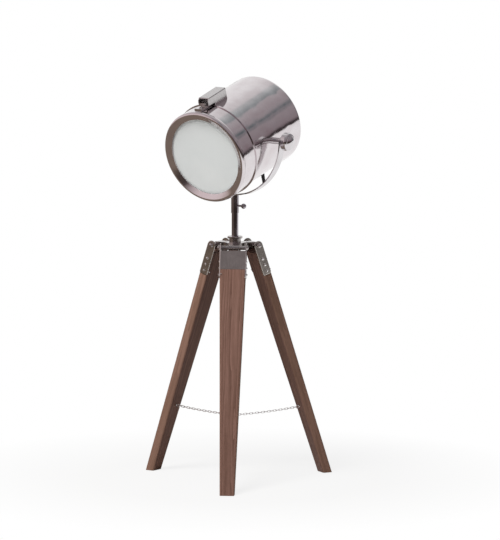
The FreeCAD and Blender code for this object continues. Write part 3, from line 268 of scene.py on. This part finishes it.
def turned_mesh(name, profile, sides):
    """A closed mesh turned about Z from (radius, height) points that start and end on the axis."""
    mesh = bpy.data.meshes.new(name)
    shape = bmesh.new()
    rows = []
    for radius, height in profile:
        if radius == 0:
            rows.append([shape.verts.new((0, 0, height))] * sides)
        else:
            rows.append([shape.verts.new((radius * math.cos(2 * math.pi * i / sides),
                                          radius * math.sin(2 * math.pi * i / sides), height))
                         for i in range(sides)])
    for low, high in zip(rows, rows[1:]):
        for i in range(sides):
            corners = [low[i], low[(i + 1) % sides], high[(i + 1) % sides], high[i]]
            corners = list(dict.fromkeys(corners))
            if len(corners) > 2:
                shape.faces.new(corners)
    bmesh.ops.recalc_face_normals(shape, faces=shape.faces)
    shape.to_mesh(mesh)
    shape.free()
    return mesh


def placed(name, mesh):
    """An object at the origin that carries this mesh."""
    piece = bpy.data.objects.new(name, mesh)
    bpy.context.scene.collection.objects.link(piece)
    return piece


def baked(piece, modifier):
    """The plain mesh that a modifier makes; the modifier is then removed."""
    bpy.context.view_layer.update()
    ready = piece.evaluated_get(bpy.context.evaluated_depsgraph_get())
    mesh = bpy.data.meshes.new_from_object(ready)
    piece.modifiers.remove(modifier)
    return mesh


dome = [(0, SCREW_HEAD_HIGH)]
for step in range(1, DOME_STEPS + 1):
    angle = math.radians(90 * step / DOME_STEPS)
    dome.append((SCREW_HEAD_R * math.sin(angle), SCREW_HEAD_HIGH * math.cos(angle)))
screw = placed("screw_pattern", turned_mesh("screw_pattern", dome + SCREW_SHANK, SCREW_SIDES))
cross = bmesh.new()
for turn in (0, 90):
    bmesh.ops.create_cube(cross, size=1, matrix=Matrix.Rotation(math.radians(turn), 4, "Z")
                          @ Matrix.Translation((0, 0, SCREW_HEAD_HIGH))
                          @ Matrix.Diagonal((*RECESS, 1)))
cross_mesh = bpy.data.meshes.new("screw_recess")
cross.to_mesh(cross_mesh)
cross.free()
recess = placed("screw_recess", cross_mesh)
sunk = screw.modifiers.new("recess", "BOOLEAN")
sunk.object = recess
sunk.use_self = True
screw_mesh = baked(screw, sunk)
bpy.data.objects.remove(recess)
bpy.data.objects.remove(screw)


def tree_of(name, sizes):
    """A geometry tree with named number inputs: (tree, input node, output node)."""
    grower = bpy.data.node_groups.new(name, "GeometryNodeTree")
    grower.interface.new_socket("Geometry", in_out="INPUT", socket_type="NodeSocketGeometry")
    for word, kind in sizes:
        grower.interface.new_socket(word, in_out="INPUT", socket_type=kind)
    grower.interface.new_socket("Geometry", in_out="OUTPUT", socket_type="NodeSocketGeometry")
    return grower, add(grower, "NodeGroupInput"), add(grower, "NodeGroupOutput")


def grow(name, mesh, grower, values):
    """Runs a geometry tree on a mesh with these input values and gives the plain mesh."""
    piece = placed(name, mesh)
    modifier = piece.modifiers.new("grow", "NODES")
    modifier.node_group = grower
    for item in grower.interface.items_tree:
        if item.in_out == "INPUT" and item.name in values:
            modifier[item.identifier] = values[item.name]
    result = baked(piece, modifier)
    bpy.data.objects.remove(piece)
    return result


# one row of screws down a cheek, and the same row turned round to the other cheek
rows, given, made = tree_of("screw_rows",
                            [("Count", "NodeSocketInt"), ("First", "NodeSocketFloat"),
                             ("Pitch", "NodeSocketFloat"), ("Half Width", "NodeSocketFloat"),
                             ("Finish", "NodeSocketMaterial")])
top = add(rows, "ShaderNodeCombineXYZ",
          {"X": given.outputs["Half Width"], "Z": given.outputs["First"]})
down = add(rows, "ShaderNodeMath", {0: given.outputs["Pitch"], 1: -1.0}, operation="MULTIPLY")
step_down = add(rows, "ShaderNodeCombineXYZ", {"Z": down.outputs["Value"]})
line = add(rows, "GeometryNodeMeshLine",
           {"Count": given.outputs["Count"], "Start Location": top.outputs["Vector"],
            "Offset": step_down.outputs["Vector"]}, mode="OFFSET")
number = add(rows, "GeometryNodeInputIndex")
# each screw is turned further than the one above it
twist = add(rows, "ShaderNodeMath", {0: number.outputs["Index"], 1: SCREW_TWIST},
            operation="MULTIPLY")
facing = add(rows, "ShaderNodeCombineXYZ", {"Y": math.pi / 2, "X": twist.outputs["Value"]})
one_side = add(rows, "GeometryNodeInstanceOnPoints", {"Points": line.outputs["Mesh"],
                                                      "Instance": given.outputs["Geometry"],
                                                      "Rotation": facing.outputs["Vector"]})
other_side = add(rows, "GeometryNodeTransform", {"Geometry": one_side.outputs["Instances"],
                                                 "Rotation": (0, 0, math.pi)})
both = add(rows, "GeometryNodeJoinGeometry")
rows.links.new(one_side.outputs["Instances"], both.inputs["Geometry"])
rows.links.new(other_side.outputs["Geometry"], both.inputs["Geometry"])
real = add(rows, "GeometryNodeRealizeInstances", {"Geometry": both.outputs["Geometry"]})
coated = add(rows, "GeometryNodeSetMaterial", {"Geometry": real.outputs["Geometry"],
                                               "Material": given.outputs["Finish"]})
rows.links.new(coated.outputs["Geometry"], made.inputs["Geometry"])


def leg_matrix(azimuth):
    """Hinge axis along X, outward along Y, the leg hanging down -Z."""
    return (Matrix.Rotation(math.radians(azimuth - 90), 4, "Z")
            @ Matrix.Translation((0, HINGE_R, HINGE_HIGH)) @ Matrix.Rotation(SPLAY, 4, "X"))


for side, azimuth in LEGS.items():
    screws = grow("screws", screw_mesh.copy(), rows, {"Count": SCREWS_DOWN, "First": FIRST_SCREW,
                                                      "Pitch": SCREW_PITCH, "Half Width": CAP_HALF,
                                                      "Finish": bright})
    screws.transform(leg_matrix(azimuth))
    piece = placed(f"leg_{side}_cross_head_screws", screws)
    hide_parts(f"leg_{side}_cap_screws")
    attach(piece, f"leg_{side}")

# ---------------------------------------------------------------- chain
# Nickel-plated wire links, each bent round and closed, alternate links turned a quarter.
# Three strands run from a screw eye in each leg to one ring and keep the legs at their spread.
EYE_DOWN = 0.430
EYE_R = 0.0042
EYE_WIRE_R = 0.001
LINK_LONG = 0.0114
LINK_WIDE = 0.0056
LINK_WIRE = 0.0015
LINK_PLAY = 0.0001
LINK_STEPS = 16
WIRE_SIDES = 8
CHAIN_DROP = 0.0079
RING_R = 0.009
RING_WIRE = 0.0025

dress(bright, "chain_ring", *[f"leg_{side}_chain_eye" for side in LEGS])

wire_r = LINK_WIRE / 2
bend_r = LINK_WIDE / 2 - wire_r
straight = LINK_LONG / 2 - wire_r - bend_r
link_shape = bmesh.new()
loops = []
# the wire's middle line: two half circles, crossing over at the quarter points
for step in range(LINK_STEPS):
    angle = 2 * math.pi * step / LINK_STEPS
    side_x = straight if angle < math.pi / 2 or angle > 1.5 * math.pi else -straight
    if step in (LINK_STEPS // 4, LINK_STEPS * 3 // 4):
        side_x = 0
    middle = Vector((side_x + bend_r * math.cos(angle), bend_r * math.sin(angle), 0))
    out = Vector((math.cos(angle), math.sin(angle), 0))
    loops.append([link_shape.verts.new(middle + out * wire_r * math.cos(turn)
                                       + Vector((0, 0, wire_r * math.sin(turn))))
                  for turn in (2 * math.pi * k / WIRE_SIDES for k in range(WIRE_SIDES))])
for here, there in zip(loops, loops[1:] + loops[:1]):
    for k in range(WIRE_SIDES):
        after = (k + 1) % WIRE_SIDES
        link_shape.faces.new((here[k], there[k], there[after], here[after]))
bmesh.ops.recalc_face_normals(link_shape, faces=link_shape.faces)
for face in link_shape.faces:
    face.smooth = True
link_mesh = bpy.data.meshes.new("link")
link_shape.to_mesh(link_mesh)
link_shape.free()

strands, given, made = tree_of("chain_strand",
                               [("Count", "NodeSocketInt"), ("First", "NodeSocketFloat"),
                                ("Last", "NodeSocketFloat"), ("Ring Height", "NodeSocketFloat"),
                                ("Drop", "NodeSocketFloat"), ("Finish", "NodeSocketMaterial")])
line = add(strands, "GeometryNodeMeshLine", {"Count": given.outputs["Count"]}, mode="OFFSET")
number = add(strands, "GeometryNodeInputIndex")
steps = add(strands, "ShaderNodeMath", {0: given.outputs["Count"], 1: 1.0}, operation="SUBTRACT")
# share runs from 1 at the eye to 0 at the ring; the sag is a parabola in it
done = add(strands, "ShaderNodeMath", {0: number.outputs["Index"], 1: steps.outputs["Value"]},
           operation="DIVIDE")
share = add(strands, "ShaderNodeMath", {0: 1.0, 1: done.outputs["Value"]}, operation="SUBTRACT")
span = add(strands, "ShaderNodeMath", {0: given.outputs["First"], 1: given.outputs["Last"]},
           operation="SUBTRACT")
out = add(strands, "ShaderNodeMath", {0: span.outputs["Value"], 1: share.outputs["Value"],
                                      2: given.outputs["Last"]}, operation="MULTIPLY_ADD")
squared = add(strands, "ShaderNodeMath", {0: share.outputs["Value"], 1: share.outputs["Value"]},
              operation="MULTIPLY")
height = add(strands, "ShaderNodeMath", {0: squared.outputs["Value"], 1: given.outputs["Drop"],
                                         2: given.outputs["Ring Height"]}, operation="MULTIPLY_ADD")
spot = add(strands, "ShaderNodeCombineXYZ",
           {"X": out.outputs["Value"], "Z": height.outputs["Value"]})
moved = add(strands, "GeometryNodeSetPosition",
            {"Geometry": line.outputs["Mesh"], "Position": spot.outputs["Vector"]})
rise = add(strands, "ShaderNodeMath", {0: share.outputs["Value"], 1: given.outputs["Drop"]},
           operation="MULTIPLY")
twice = add(strands, "ShaderNodeMath", {0: rise.outputs["Value"], 1: -2.0}, operation="MULTIPLY")
lean = add(strands, "ShaderNodeMath", {0: twice.outputs["Value"], 1: span.outputs["Value"]},
           operation="ARCTAN2")
odd = add(strands, "ShaderNodeMath", {0: number.outputs["Index"], 1: 2.0}, operation="MODULO")
flip = add(strands, "ShaderNodeMath", {0: odd.outputs["Value"], 1: math.pi / 2},
           operation="MULTIPLY")
facing = add(strands, "ShaderNodeCombineXYZ",
             {"X": flip.outputs["Value"], "Y": lean.outputs["Value"]})
linked = add(strands, "GeometryNodeInstanceOnPoints", {"Points": moved.outputs["Geometry"],
                                                       "Instance": given.outputs["Geometry"],
                                                       "Rotation": facing.outputs["Vector"]})
real = add(strands, "GeometryNodeRealizeInstances", {"Geometry": linked.outputs["Instances"]})
coated = add(strands, "GeometryNodeSetMaterial", {"Geometry": real.outputs["Geometry"],
                                                  "Material": given.outputs["Finish"]})
strands.links.new(coated.outputs["Geometry"], made.inputs["Geometry"])

eye = leg_matrix(0) @ Vector((0, -(CAP_THICK_HALF + EYE_R + EYE_WIRE_R), -EYE_DOWN))
ring_z = eye.z - CHAIN_DROP
first = eye.x - (EYE_R - EYE_WIRE_R - wire_r - LINK_PLAY) - (LINK_LONG / 2 - wire_r)
last = RING_R - (RING_WIRE / 2 + wire_r + LINK_PLAY) + (LINK_LONG / 2 - wire_r)
links = math.ceil((first - last) / (LINK_LONG - 2 * LINK_WIRE))
links += 1 - links % 2
for side, azimuth in LEGS.items():
    strand = grow("strand", link_mesh.copy(), strands,
                  {"Count": links + 1, "First": first, "Last": last, "Ring Height": ring_z,
                   "Drop": CHAIN_DROP, "Finish": bright})
    strand.transform(Matrix.Rotation(math.radians(azimuth), 4, "Z"))
    piece = placed(f"leg_{side}_chain_links", strand)
    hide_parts(f"leg_{side}_chain")
    way = Vector((math.cos(math.radians(azimuth)), math.sin(math.radians(azimuth)), 0))
    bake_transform(piece)

# ---------------------------------------------------------------- pole and sleeve
# Drawn steel tube, ground, polished and black-nickel plated. The sleeve turns on the pole and a
# ball-headed thumb screw stops it.


def plate(name, coarse, roughness, tones):
    """Plated steel with marks of handling: their scale, roughness from and to, and tones."""
    material, tree, shader, place = finish_of(name)
    handled = add(tree, "ShaderNodeTexNoise", {"Vector": place, "Scale": coarse, "Detail": 4})
    gloss = add(tree, "ShaderNodeMapRange",
                {"Value": handled.outputs["Fac"], "From Min": 0.35, "From Max": 0.75,
                 "To Min": roughness[0], "To Max": roughness[1]})
    tone = add(tree, "ShaderNodeValToRGB", {"Fac": handled.outputs["Fac"]}, tones)
    feed(shader, {"Metallic": 1.0, "Base Color": tone.outputs["Color"],
                  "Roughness": gloss.outputs["Result"]})
    return material


smoked = plate("black_nickel_tube", 52, (0.08, 0.17), {0.35: "#989297", 0.65: "#ACA6AC"})
dress(smoked, "pole", "sleeve", "thumb_screw")

# ---------------------------------------------------------------- yoke
# Flat steel strap rolled to a half circle, punched for the studs and chrome plated. It is screwed
# to the sleeve, and the two knobs on its ends clamp the drum.
chrome = plate("chrome_plated_steel", 38, (0.06, 0.16), {0.35: "#CFCBCC", 0.65: "#DAD7D9"})
dress(chrome, "yoke_strap", "yoke_screw", "tilt_knob_left", "tilt_knob_right", "pivot_spacers")

# ---------------------------------------------------------------- drum and front door
# Two sheet-steel spinnings, polished and chrome plated: a can whose back edge is rolled round, and
# the deep ring of its door, with a lip that slopes in to the glass. Their walls keep faint
# spinning lines and shallow waves that bend what they reflect.
HEAD_PIVOT = Vector((0, 0, 0.8455))
HEAD_TURN = (math.radians(16), 0, math.radians(-31.3))
spun, tree, shader, place = finish_of("spun_chrome")
own = own_axes(tree, place, HEAD_PIVOT, HEAD_TURN)
# spinning lines 0.4 mm apart across the wall, drawn 1.2 mm apart so that they show
lines_at = add(tree, "ShaderNodeMapping", {"Vector": own, "Scale": (0.02, 1, 0.02)})
lines = add(tree, "ShaderNodeTexNoise",
            {"Vector": lines_at.outputs["Vector"], "Scale": 800, "Detail": 2})
# waves of the hand-spun wall, about 60 mm across
waves = add(tree, "ShaderNodeTexNoise", {"Vector": own, "Scale": 17, "Detail": 1.5,
                                         "Roughness": 0.4})
smears = add(tree, "ShaderNodeTexNoise", {"Vector": own, "Scale": 34, "Detail": 5})
waved = add(tree, "ShaderNodeBump",
            {"Height": waves.outputs["Fac"], "Strength": 0.6, "Distance": 0.0025})
lined = add(tree, "ShaderNodeBump",
            {"Height": lines.outputs["Fac"], "Strength": 0.10, "Distance": 0.0002,
             "Normal": waved.outputs["Normal"]})
gloss = add(tree, "ShaderNodeMapRange",
            {"Value": smears.outputs["Fac"], "From Min": 0.35, "From Max": 0.7, "To Min": 0.07,
             "To Max": 0.17})
tone = add(tree, "ShaderNodeValToRGB", {"Fac": smears.outputs["Fac"]},
           {0.3: "#D3CBCD", 0.7: "#DFDADC"})
feed(shader, {"Metallic": 1.0, "Base Color": tone.outputs["Color"],
              "Roughness": gloss.outputs["Result"], "Normal": lined.outputs["Normal"]})
dress(spun, "drum_shell", "door_ring")

# ---------------------------------------------------------------- strain relief
# Moulded rubber with ribs that let it bend: matt, nearly black, a little bloomed.
rubber, tree, shader, place = finish_of("moulded_black_rubber")
bloom = add(tree, "ShaderNodeTexNoise", {"Vector": place, "Scale": 220, "Detail": 3})
tone = add(tree, "ShaderNodeValToRGB", {"Fac": bloom.outputs["Fac"]},
           {0.35: "#1A1A1C", 0.75: "#2E2E31"})
relief = add(tree, "ShaderNodeBump",
             {"Height": bloom.outputs["Fac"], "Strength": 0.2, "Distance": 0.0002})
feed(shader, {"Roughness": 0.68, "Base Color": tone.outputs["Color"],
              "Normal": relief.outputs["Normal"]})
dress(rubber, "cable_gland", "glass_gasket")

# ---------------------------------------------------------------- lampholder, bulb and reflector
# Moulded phenolic holder on a pressed bracket, an opal bulb, and a spun bowl sprayed white.
phenolic, tree, shader, place = finish_of("moulded_black_phenolic")
flow = add(tree, "ShaderNodeTexNoise", {"Vector": place, "Scale": 160, "Detail": 4})
tone = add(tree, "ShaderNodeValToRGB", {"Fac": flow.outputs["Fac"]},
           {0.4: "#141414", 0.7: "#211F1E"})
feed(shader, {"Roughness": 0.35, "Base Color": tone.outputs["Color"]})
dress(phenolic, "lampholder")

enamel, tree, shader, place = finish_of("white_heat_enamel")
peel = add(tree, "ShaderNodeTexNoise", {"Vector": place, "Scale": 500, "Detail": 2})
relief = add(tree, "ShaderNodeBump",
             {"Height": peel.outputs["Fac"], "Strength": 0.1, "Distance": 0.0002})
tone = add(tree, "ShaderNodeValToRGB", {"Fac": peel.outputs["Fac"]},
           {0.3: "#E4E4E1", 0.7: "#EEEEEB"})
feed(shader, {"Roughness": 0.32, "Base Color": tone.outputs["Color"],
              "Normal": relief.outputs["Normal"]})
dress(enamel, "reflector")

opal, tree, shader, place = finish_of("opal_glass_bulb")
milk = add(tree, "ShaderNodeTexNoise", {"Vector": place, "Scale": 120, "Detail": 2})
tone = add(tree, "ShaderNodeValToRGB", {"Fac": milk.outputs["Fac"]},
           {0.3: "#ECEAE4", 0.7: "#F3F1EC"})
feed(shader,
     {"Roughness": 0.12, "Subsurface Weight": 0.2, "Subsurface Radius": (0.004, 0.004, 0.004),
      "Base Color": tone.outputs["Color"]})
dress(opal, "bulb")

# ---------------------------------------------------------------- front glass
# Float glass, acid-frosted on the back so that it glows evenly: a flat cool grey when unlit,
# with a soft sheen.
frosted, tree, shader, place = finish_of("acid_frosted_glass")
frost = add(tree, "ShaderNodeTexNoise", {"Vector": place, "Scale": 1800, "Detail": 2})
cloud = add(tree, "ShaderNodeTexNoise", {"Vector": place, "Scale": 9, "Detail": 2})
tone = add(tree, "ShaderNodeValToRGB", {"Fac": cloud.outputs["Fac"]},
           {0.3: "#E9EDEC", 0.7: "#F0F3F2"})
relief = add(tree, "ShaderNodeBump",
             {"Height": frost.outputs["Fac"], "Strength": 0.08, "Distance": 0.0001})
feed(shader, {"Roughness": 0.55, "IOR": 1.52, "Transmission Weight": 0.08,
              "Base Color": tone.outputs["Color"], "Normal": relief.outputs["Normal"]})
dress(frosted, "front_glass")

# ---------------------------------------------------------------- door hinge and spring catch
# Small pressed and turned steel pieces, chrome plated, with fine scratches from use.
used, tree, shader, place = finish_of("scratched_chrome")
turned_at = add(tree, "ShaderNodeMapping", {"Vector": place, "Scale": (1, 0.06, 1),
                                            "Rotation": HEAD_TURN})
scratches = add(tree, "ShaderNodeTexNoise",
                {"Vector": turned_at.outputs["Vector"], "Scale": 1500, "Detail": 3})
tone = add(tree, "ShaderNodeValToRGB", {"Fac": scratches.outputs["Fac"]},
           {0.3: "#A9A5A5", 0.7: "#D2CFCF"})
gloss = add(tree, "ShaderNodeMapRange",
            {"Value": scratches.outputs["Fac"], "To Min": 0.10, "To Max": 0.28})
feed(shader, {"Metallic": 1.0, "Base Color": tone.outputs["Color"],
              "Roughness": gloss.outputs["Result"]})
dress(used, "door_hinge_leaf", "drum_hinge_leaf", "door_hinge_pin", "catch_base", "catch_hood",
      "catch_spring", "catch_rivets", "catch_keeper", "keeper_screw")

# ---------------------------------------------------------------- studio
# Pale floor and a light tent; the camera stands where the photograph was taken from.
floor_mesh = bpy.data.meshes.new("floor")
reach = 30
floor_mesh.from_pydata([(-reach, -reach, 0), (reach, -reach, 0), (reach, reach, 0),
                        (-reach, reach, 0)], [], [(0, 1, 2, 3)])
floor = placed("floor", floor_mesh)
paper = bpy.data.materials.new("studio_paper")
paper.use_nodes = True
tree = paper.node_tree
tree.nodes.clear()
ray = add(tree, "ShaderNodeLightPath")
spot = add(tree, "ShaderNodeNewGeometry")
distance = add(tree, "ShaderNodeVectorMath", {0: spot.outputs["Position"]}, operation="LENGTH")
# the eye sees white paper, a little of whose own shading is left round the feet for the shadow
eye = add(tree, "ShaderNodeMath",
          {0: ray.outputs["Is Camera Ray"], 1: ray.outputs["Is Transmission Ray"]},
          operation="MAXIMUM")
faded = add(tree, "ShaderNodeMapRange",
            {"Value": distance.outputs["Value"], "From Min": 0.35, "From Max": 0.8, "To Min": 0.84,
             "To Max": 1.0})
eye_share = add(tree, "ShaderNodeMath", {0: eye.outputs["Value"], 1: faded.outputs["Result"]},
                operation="MULTIPLY")
# metal sees the paper end: tan boards close on its left, and the dark room over two metres in front
apart = add(tree, "ShaderNodeSeparateXYZ", {"Vector": spot.outputs["Position"]})
leftward = add(tree, "ShaderNodeMapRange",
               {"Value": apart.outputs["X"], "From Min": 0.04, "From Max": -0.14})
to_side = add(tree, "ShaderNodeValToRGB", {"Fac": leftward.outputs["Result"]},
              {0.0: "#FFFFFF", 1.0: "#82746A"})
ahead = add(tree, "ShaderNodeVectorMath", {0: spot.outputs["Position"], 1: (0.45, -1, 0)},
            operation="DOT_PRODUCT")
past_end = add(tree, "ShaderNodeMapRange",
               {"Value": ahead.outputs["Value"], "From Min": 2.2, "From Max": 3.2})
mirrored = add(tree, "ShaderNodeMix",
               {"Factor": past_end.outputs["Result"], "A": to_side.outputs["Color"],
                "B": hexed("#4A403C")}, data_type="RGBA")
matt = add(tree, "ShaderNodeBsdfDiffuse", {"Color": hexed("#CFCDCB")})
white = add(tree, "ShaderNodeEmission", {"Color": hexed("#FFFFFF"), "Strength": 1.0})
image = add(tree, "ShaderNodeEmission", {"Color": mirrored.outputs["Result"], "Strength": 1.0})
to_eye = add(tree, "ShaderNodeMixShader",
             {"Fac": eye_share.outputs["Value"], 1: matt.outputs["BSDF"],
              2: white.outputs["Emission"]})
to_all = add(tree, "ShaderNodeMixShader",
             {"Fac": ray.outputs["Is Glossy Ray"], 1: to_eye.outputs["Shader"],
              2: image.outputs["Emission"]})
add(tree, "ShaderNodeOutputMaterial", {"Surface": to_all.outputs["Shader"]})
floor_mesh.materials.append(paper)

world = bpy.data.worlds.new("tent")
bpy.context.scene.world = world
world.use_nodes = True
tree = world.node_tree
tree.nodes.clear()
ray = add(tree, "ShaderNodeLightPath")
way = add(tree, "ShaderNodeTexCoord")
apart = add(tree, "ShaderNodeSeparateXYZ", {"Vector": way.outputs["Generated"]})
# metal sees a dark band at the horizon, a grey-pink ceiling with teal and pink shapes in it, and
# white behind the lamp
tent = add(tree, "ShaderNodeValToRGB", {"Fac": apart.outputs["Z"]},
           {0.0: "#3A3233", 0.03: "#40383A", 0.09: "#93898D", 0.5: "#9F969A", 0.8: "#B0A9AC",
            1.0: "#C6C1C3"})
shapes = add(tree, "ShaderNodeTexNoise",
             {"Vector": way.outputs["Generated"], "Scale": 3.2, "Detail": 2})
tints = add(tree, "ShaderNodeValToRGB", {"Fac": shapes.outputs["Fac"]},
            {0.36: "#6D9C9E", 0.45: "#FFFFFF", 0.56: "#FFFFFF", 0.68: "#D9BFC6"})
ceiling = add(tree, "ShaderNodeMix",
              {"Factor": 0.8, "A": tent.outputs["Color"], "B": tints.outputs["Color"]},
              data_type="RGBA", blend_type="MULTIPLY")
behind = add(tree, "ShaderNodeMapRange",
             {"Value": apart.outputs["Y"], "From Min": 0.2, "From Max": 0.7})
aside = add(tree, "ShaderNodeMath", {0: apart.outputs["X"]}, operation="ABSOLUTE")
within = add(tree, "ShaderNodeMapRange",
             {"Value": aside.outputs["Value"], "From Min": 0.65, "From Max": 0.35})
backdrop = add(tree, "ShaderNodeMath", {0: behind.outputs["Result"], 1: within.outputs["Result"]},
               operation="MULTIPLY")
round_tent = add(tree, "ShaderNodeMix",
                 {"Factor": backdrop.outputs["Value"], "A": ceiling.outputs["Result"],
                  "B": hexed("#FAFAFA")}, data_type="RGBA")
# on the left a tan wall turns pale and pinkish from 3 to 8 degrees above the horizon
wall = add(tree, "ShaderNodeValToRGB", {"Fac": apart.outputs["Z"]},
           {0.0: "#82746A", 0.05: "#A8988F", 0.13: "#EEDFE0", 0.6: "#D2C6C8"})
at_left = add(tree, "ShaderNodeMapRange",
              {"Value": apart.outputs["X"], "From Min": -0.45, "From Max": -0.75})
walled = add(tree, "ShaderNodeMix",
             {"Factor": at_left.outputs["Result"], "A": round_tent.outputs["Result"],
              "B": wall.outputs["Color"]}, data_type="RGBA")
mirror_world = add(tree, "ShaderNodeBackground",
                   {"Color": walled.outputs["Result"], "Strength": 1.0})
# soft light comes from the left and above; the right stays dim
sideways = add(tree, "ShaderNodeMapRange",
               {"Value": apart.outputs["X"], "From Min": 0.6, "From Max": -0.6, "To Min": 0.04,
                "To Max": 0.22})
soft_world = add(tree, "ShaderNodeBackground",
                 {"Color": hexed("#F6F4F4"), "Strength": sideways.outputs["Result"]})
white_world = add(tree, "ShaderNodeBackground", {"Color": hexed("#FFFFFF"), "Strength": 1.0})
open_ray = add(tree, "ShaderNodeMath",
               {0: ray.outputs["Is Camera Ray"], 1: ray.outputs["Is Transmission Ray"]},
               operation="MAXIMUM")
for_metal = add(tree, "ShaderNodeMixShader", {"Fac": ray.outputs["Is Glossy Ray"],
                                              1: soft_world.outputs["Background"],
                                              2: mirror_world.outputs["Background"]})
for_all = add(tree, "ShaderNodeMixShader",
              {"Fac": open_ray.outputs["Value"], 1: for_metal.outputs["Shader"],
               2: white_world.outputs["Background"]})
add(tree, "ShaderNodeOutputWorld", {"Surface": for_all.outputs["Shader"]})

LAMP_MIDDLE = Vector((0, 0, 0.5))
# three soft lamps that the metal doesn't mirror: where each stands, its size and its power
LAMPS = {"key": ((-0.8, -1.5, 3.2), 1.2, 118), "fill": ((-2.4, -1.0, 1.0), 1.6, 4),
         "top": ((0.2, 0.4, 3.0), 2.0, 6)}
for name, (stand_at, size, power) in LAMPS.items():
    lamp = bpy.data.lights.new(name, "AREA")
    lamp.energy = power
    lamp.size = size
    holder = bpy.data.objects.new(name, lamp)
    holder.location = stand_at
    holder.visible_glossy = False
    holder.rotation_euler = (LAMP_MIDDLE - Vector(stand_at)).to_track_quat("-Z", "Y").to_euler()
    bpy.context.scene.collection.objects.link(holder)

# The lens is long: the photograph shows almost no perspective.
AZIMUTH = math.radians(4.4)
ELEVATION = math.radians(8.03)
FAR = 20.0
METRES_PER_PIXEL = 0.00245
PHOTO_WIDTH = 500
PHOTO_HEIGHT = 540
MIDDLE_SHOWS_AT = (235.03, 277.2)
right = Vector((math.cos(AZIMUTH), math.sin(AZIMUTH), 0))
away = Vector((math.sin(AZIMUTH) * math.cos(ELEVATION), -math.cos(AZIMUTH) * math.cos(ELEVATION),
               math.sin(ELEVATION)))
up = away.cross(right)
aim = (LAMP_MIDDLE + right * (PHOTO_WIDTH / 2 - MIDDLE_SHOWS_AT[0]) * METRES_PER_PIXEL
       + up * (MIDDLE_SHOWS_AT[1] - PHOTO_HEIGHT / 2) * METRES_PER_PIXEL)
lens = bpy.data.cameras.new("camera")
lens.sensor_fit = "HORIZONTAL"
lens.sensor_width = 36
lens.lens = lens.sensor_width * FAR / (PHOTO_WIDTH * METRES_PER_PIXEL)
lens.clip_end = 200
camera = bpy.data.objects.new("camera", lens)
camera.location = aim + away * FAR
camera.rotation_euler = (-away).to_track_quat("-Z", "Y").to_euler()
bpy.context.scene.collection.objects.link(camera)
bpy.context.scene.camera = camera
bpy.context.scene.view_settings.view_transform = "Standard"
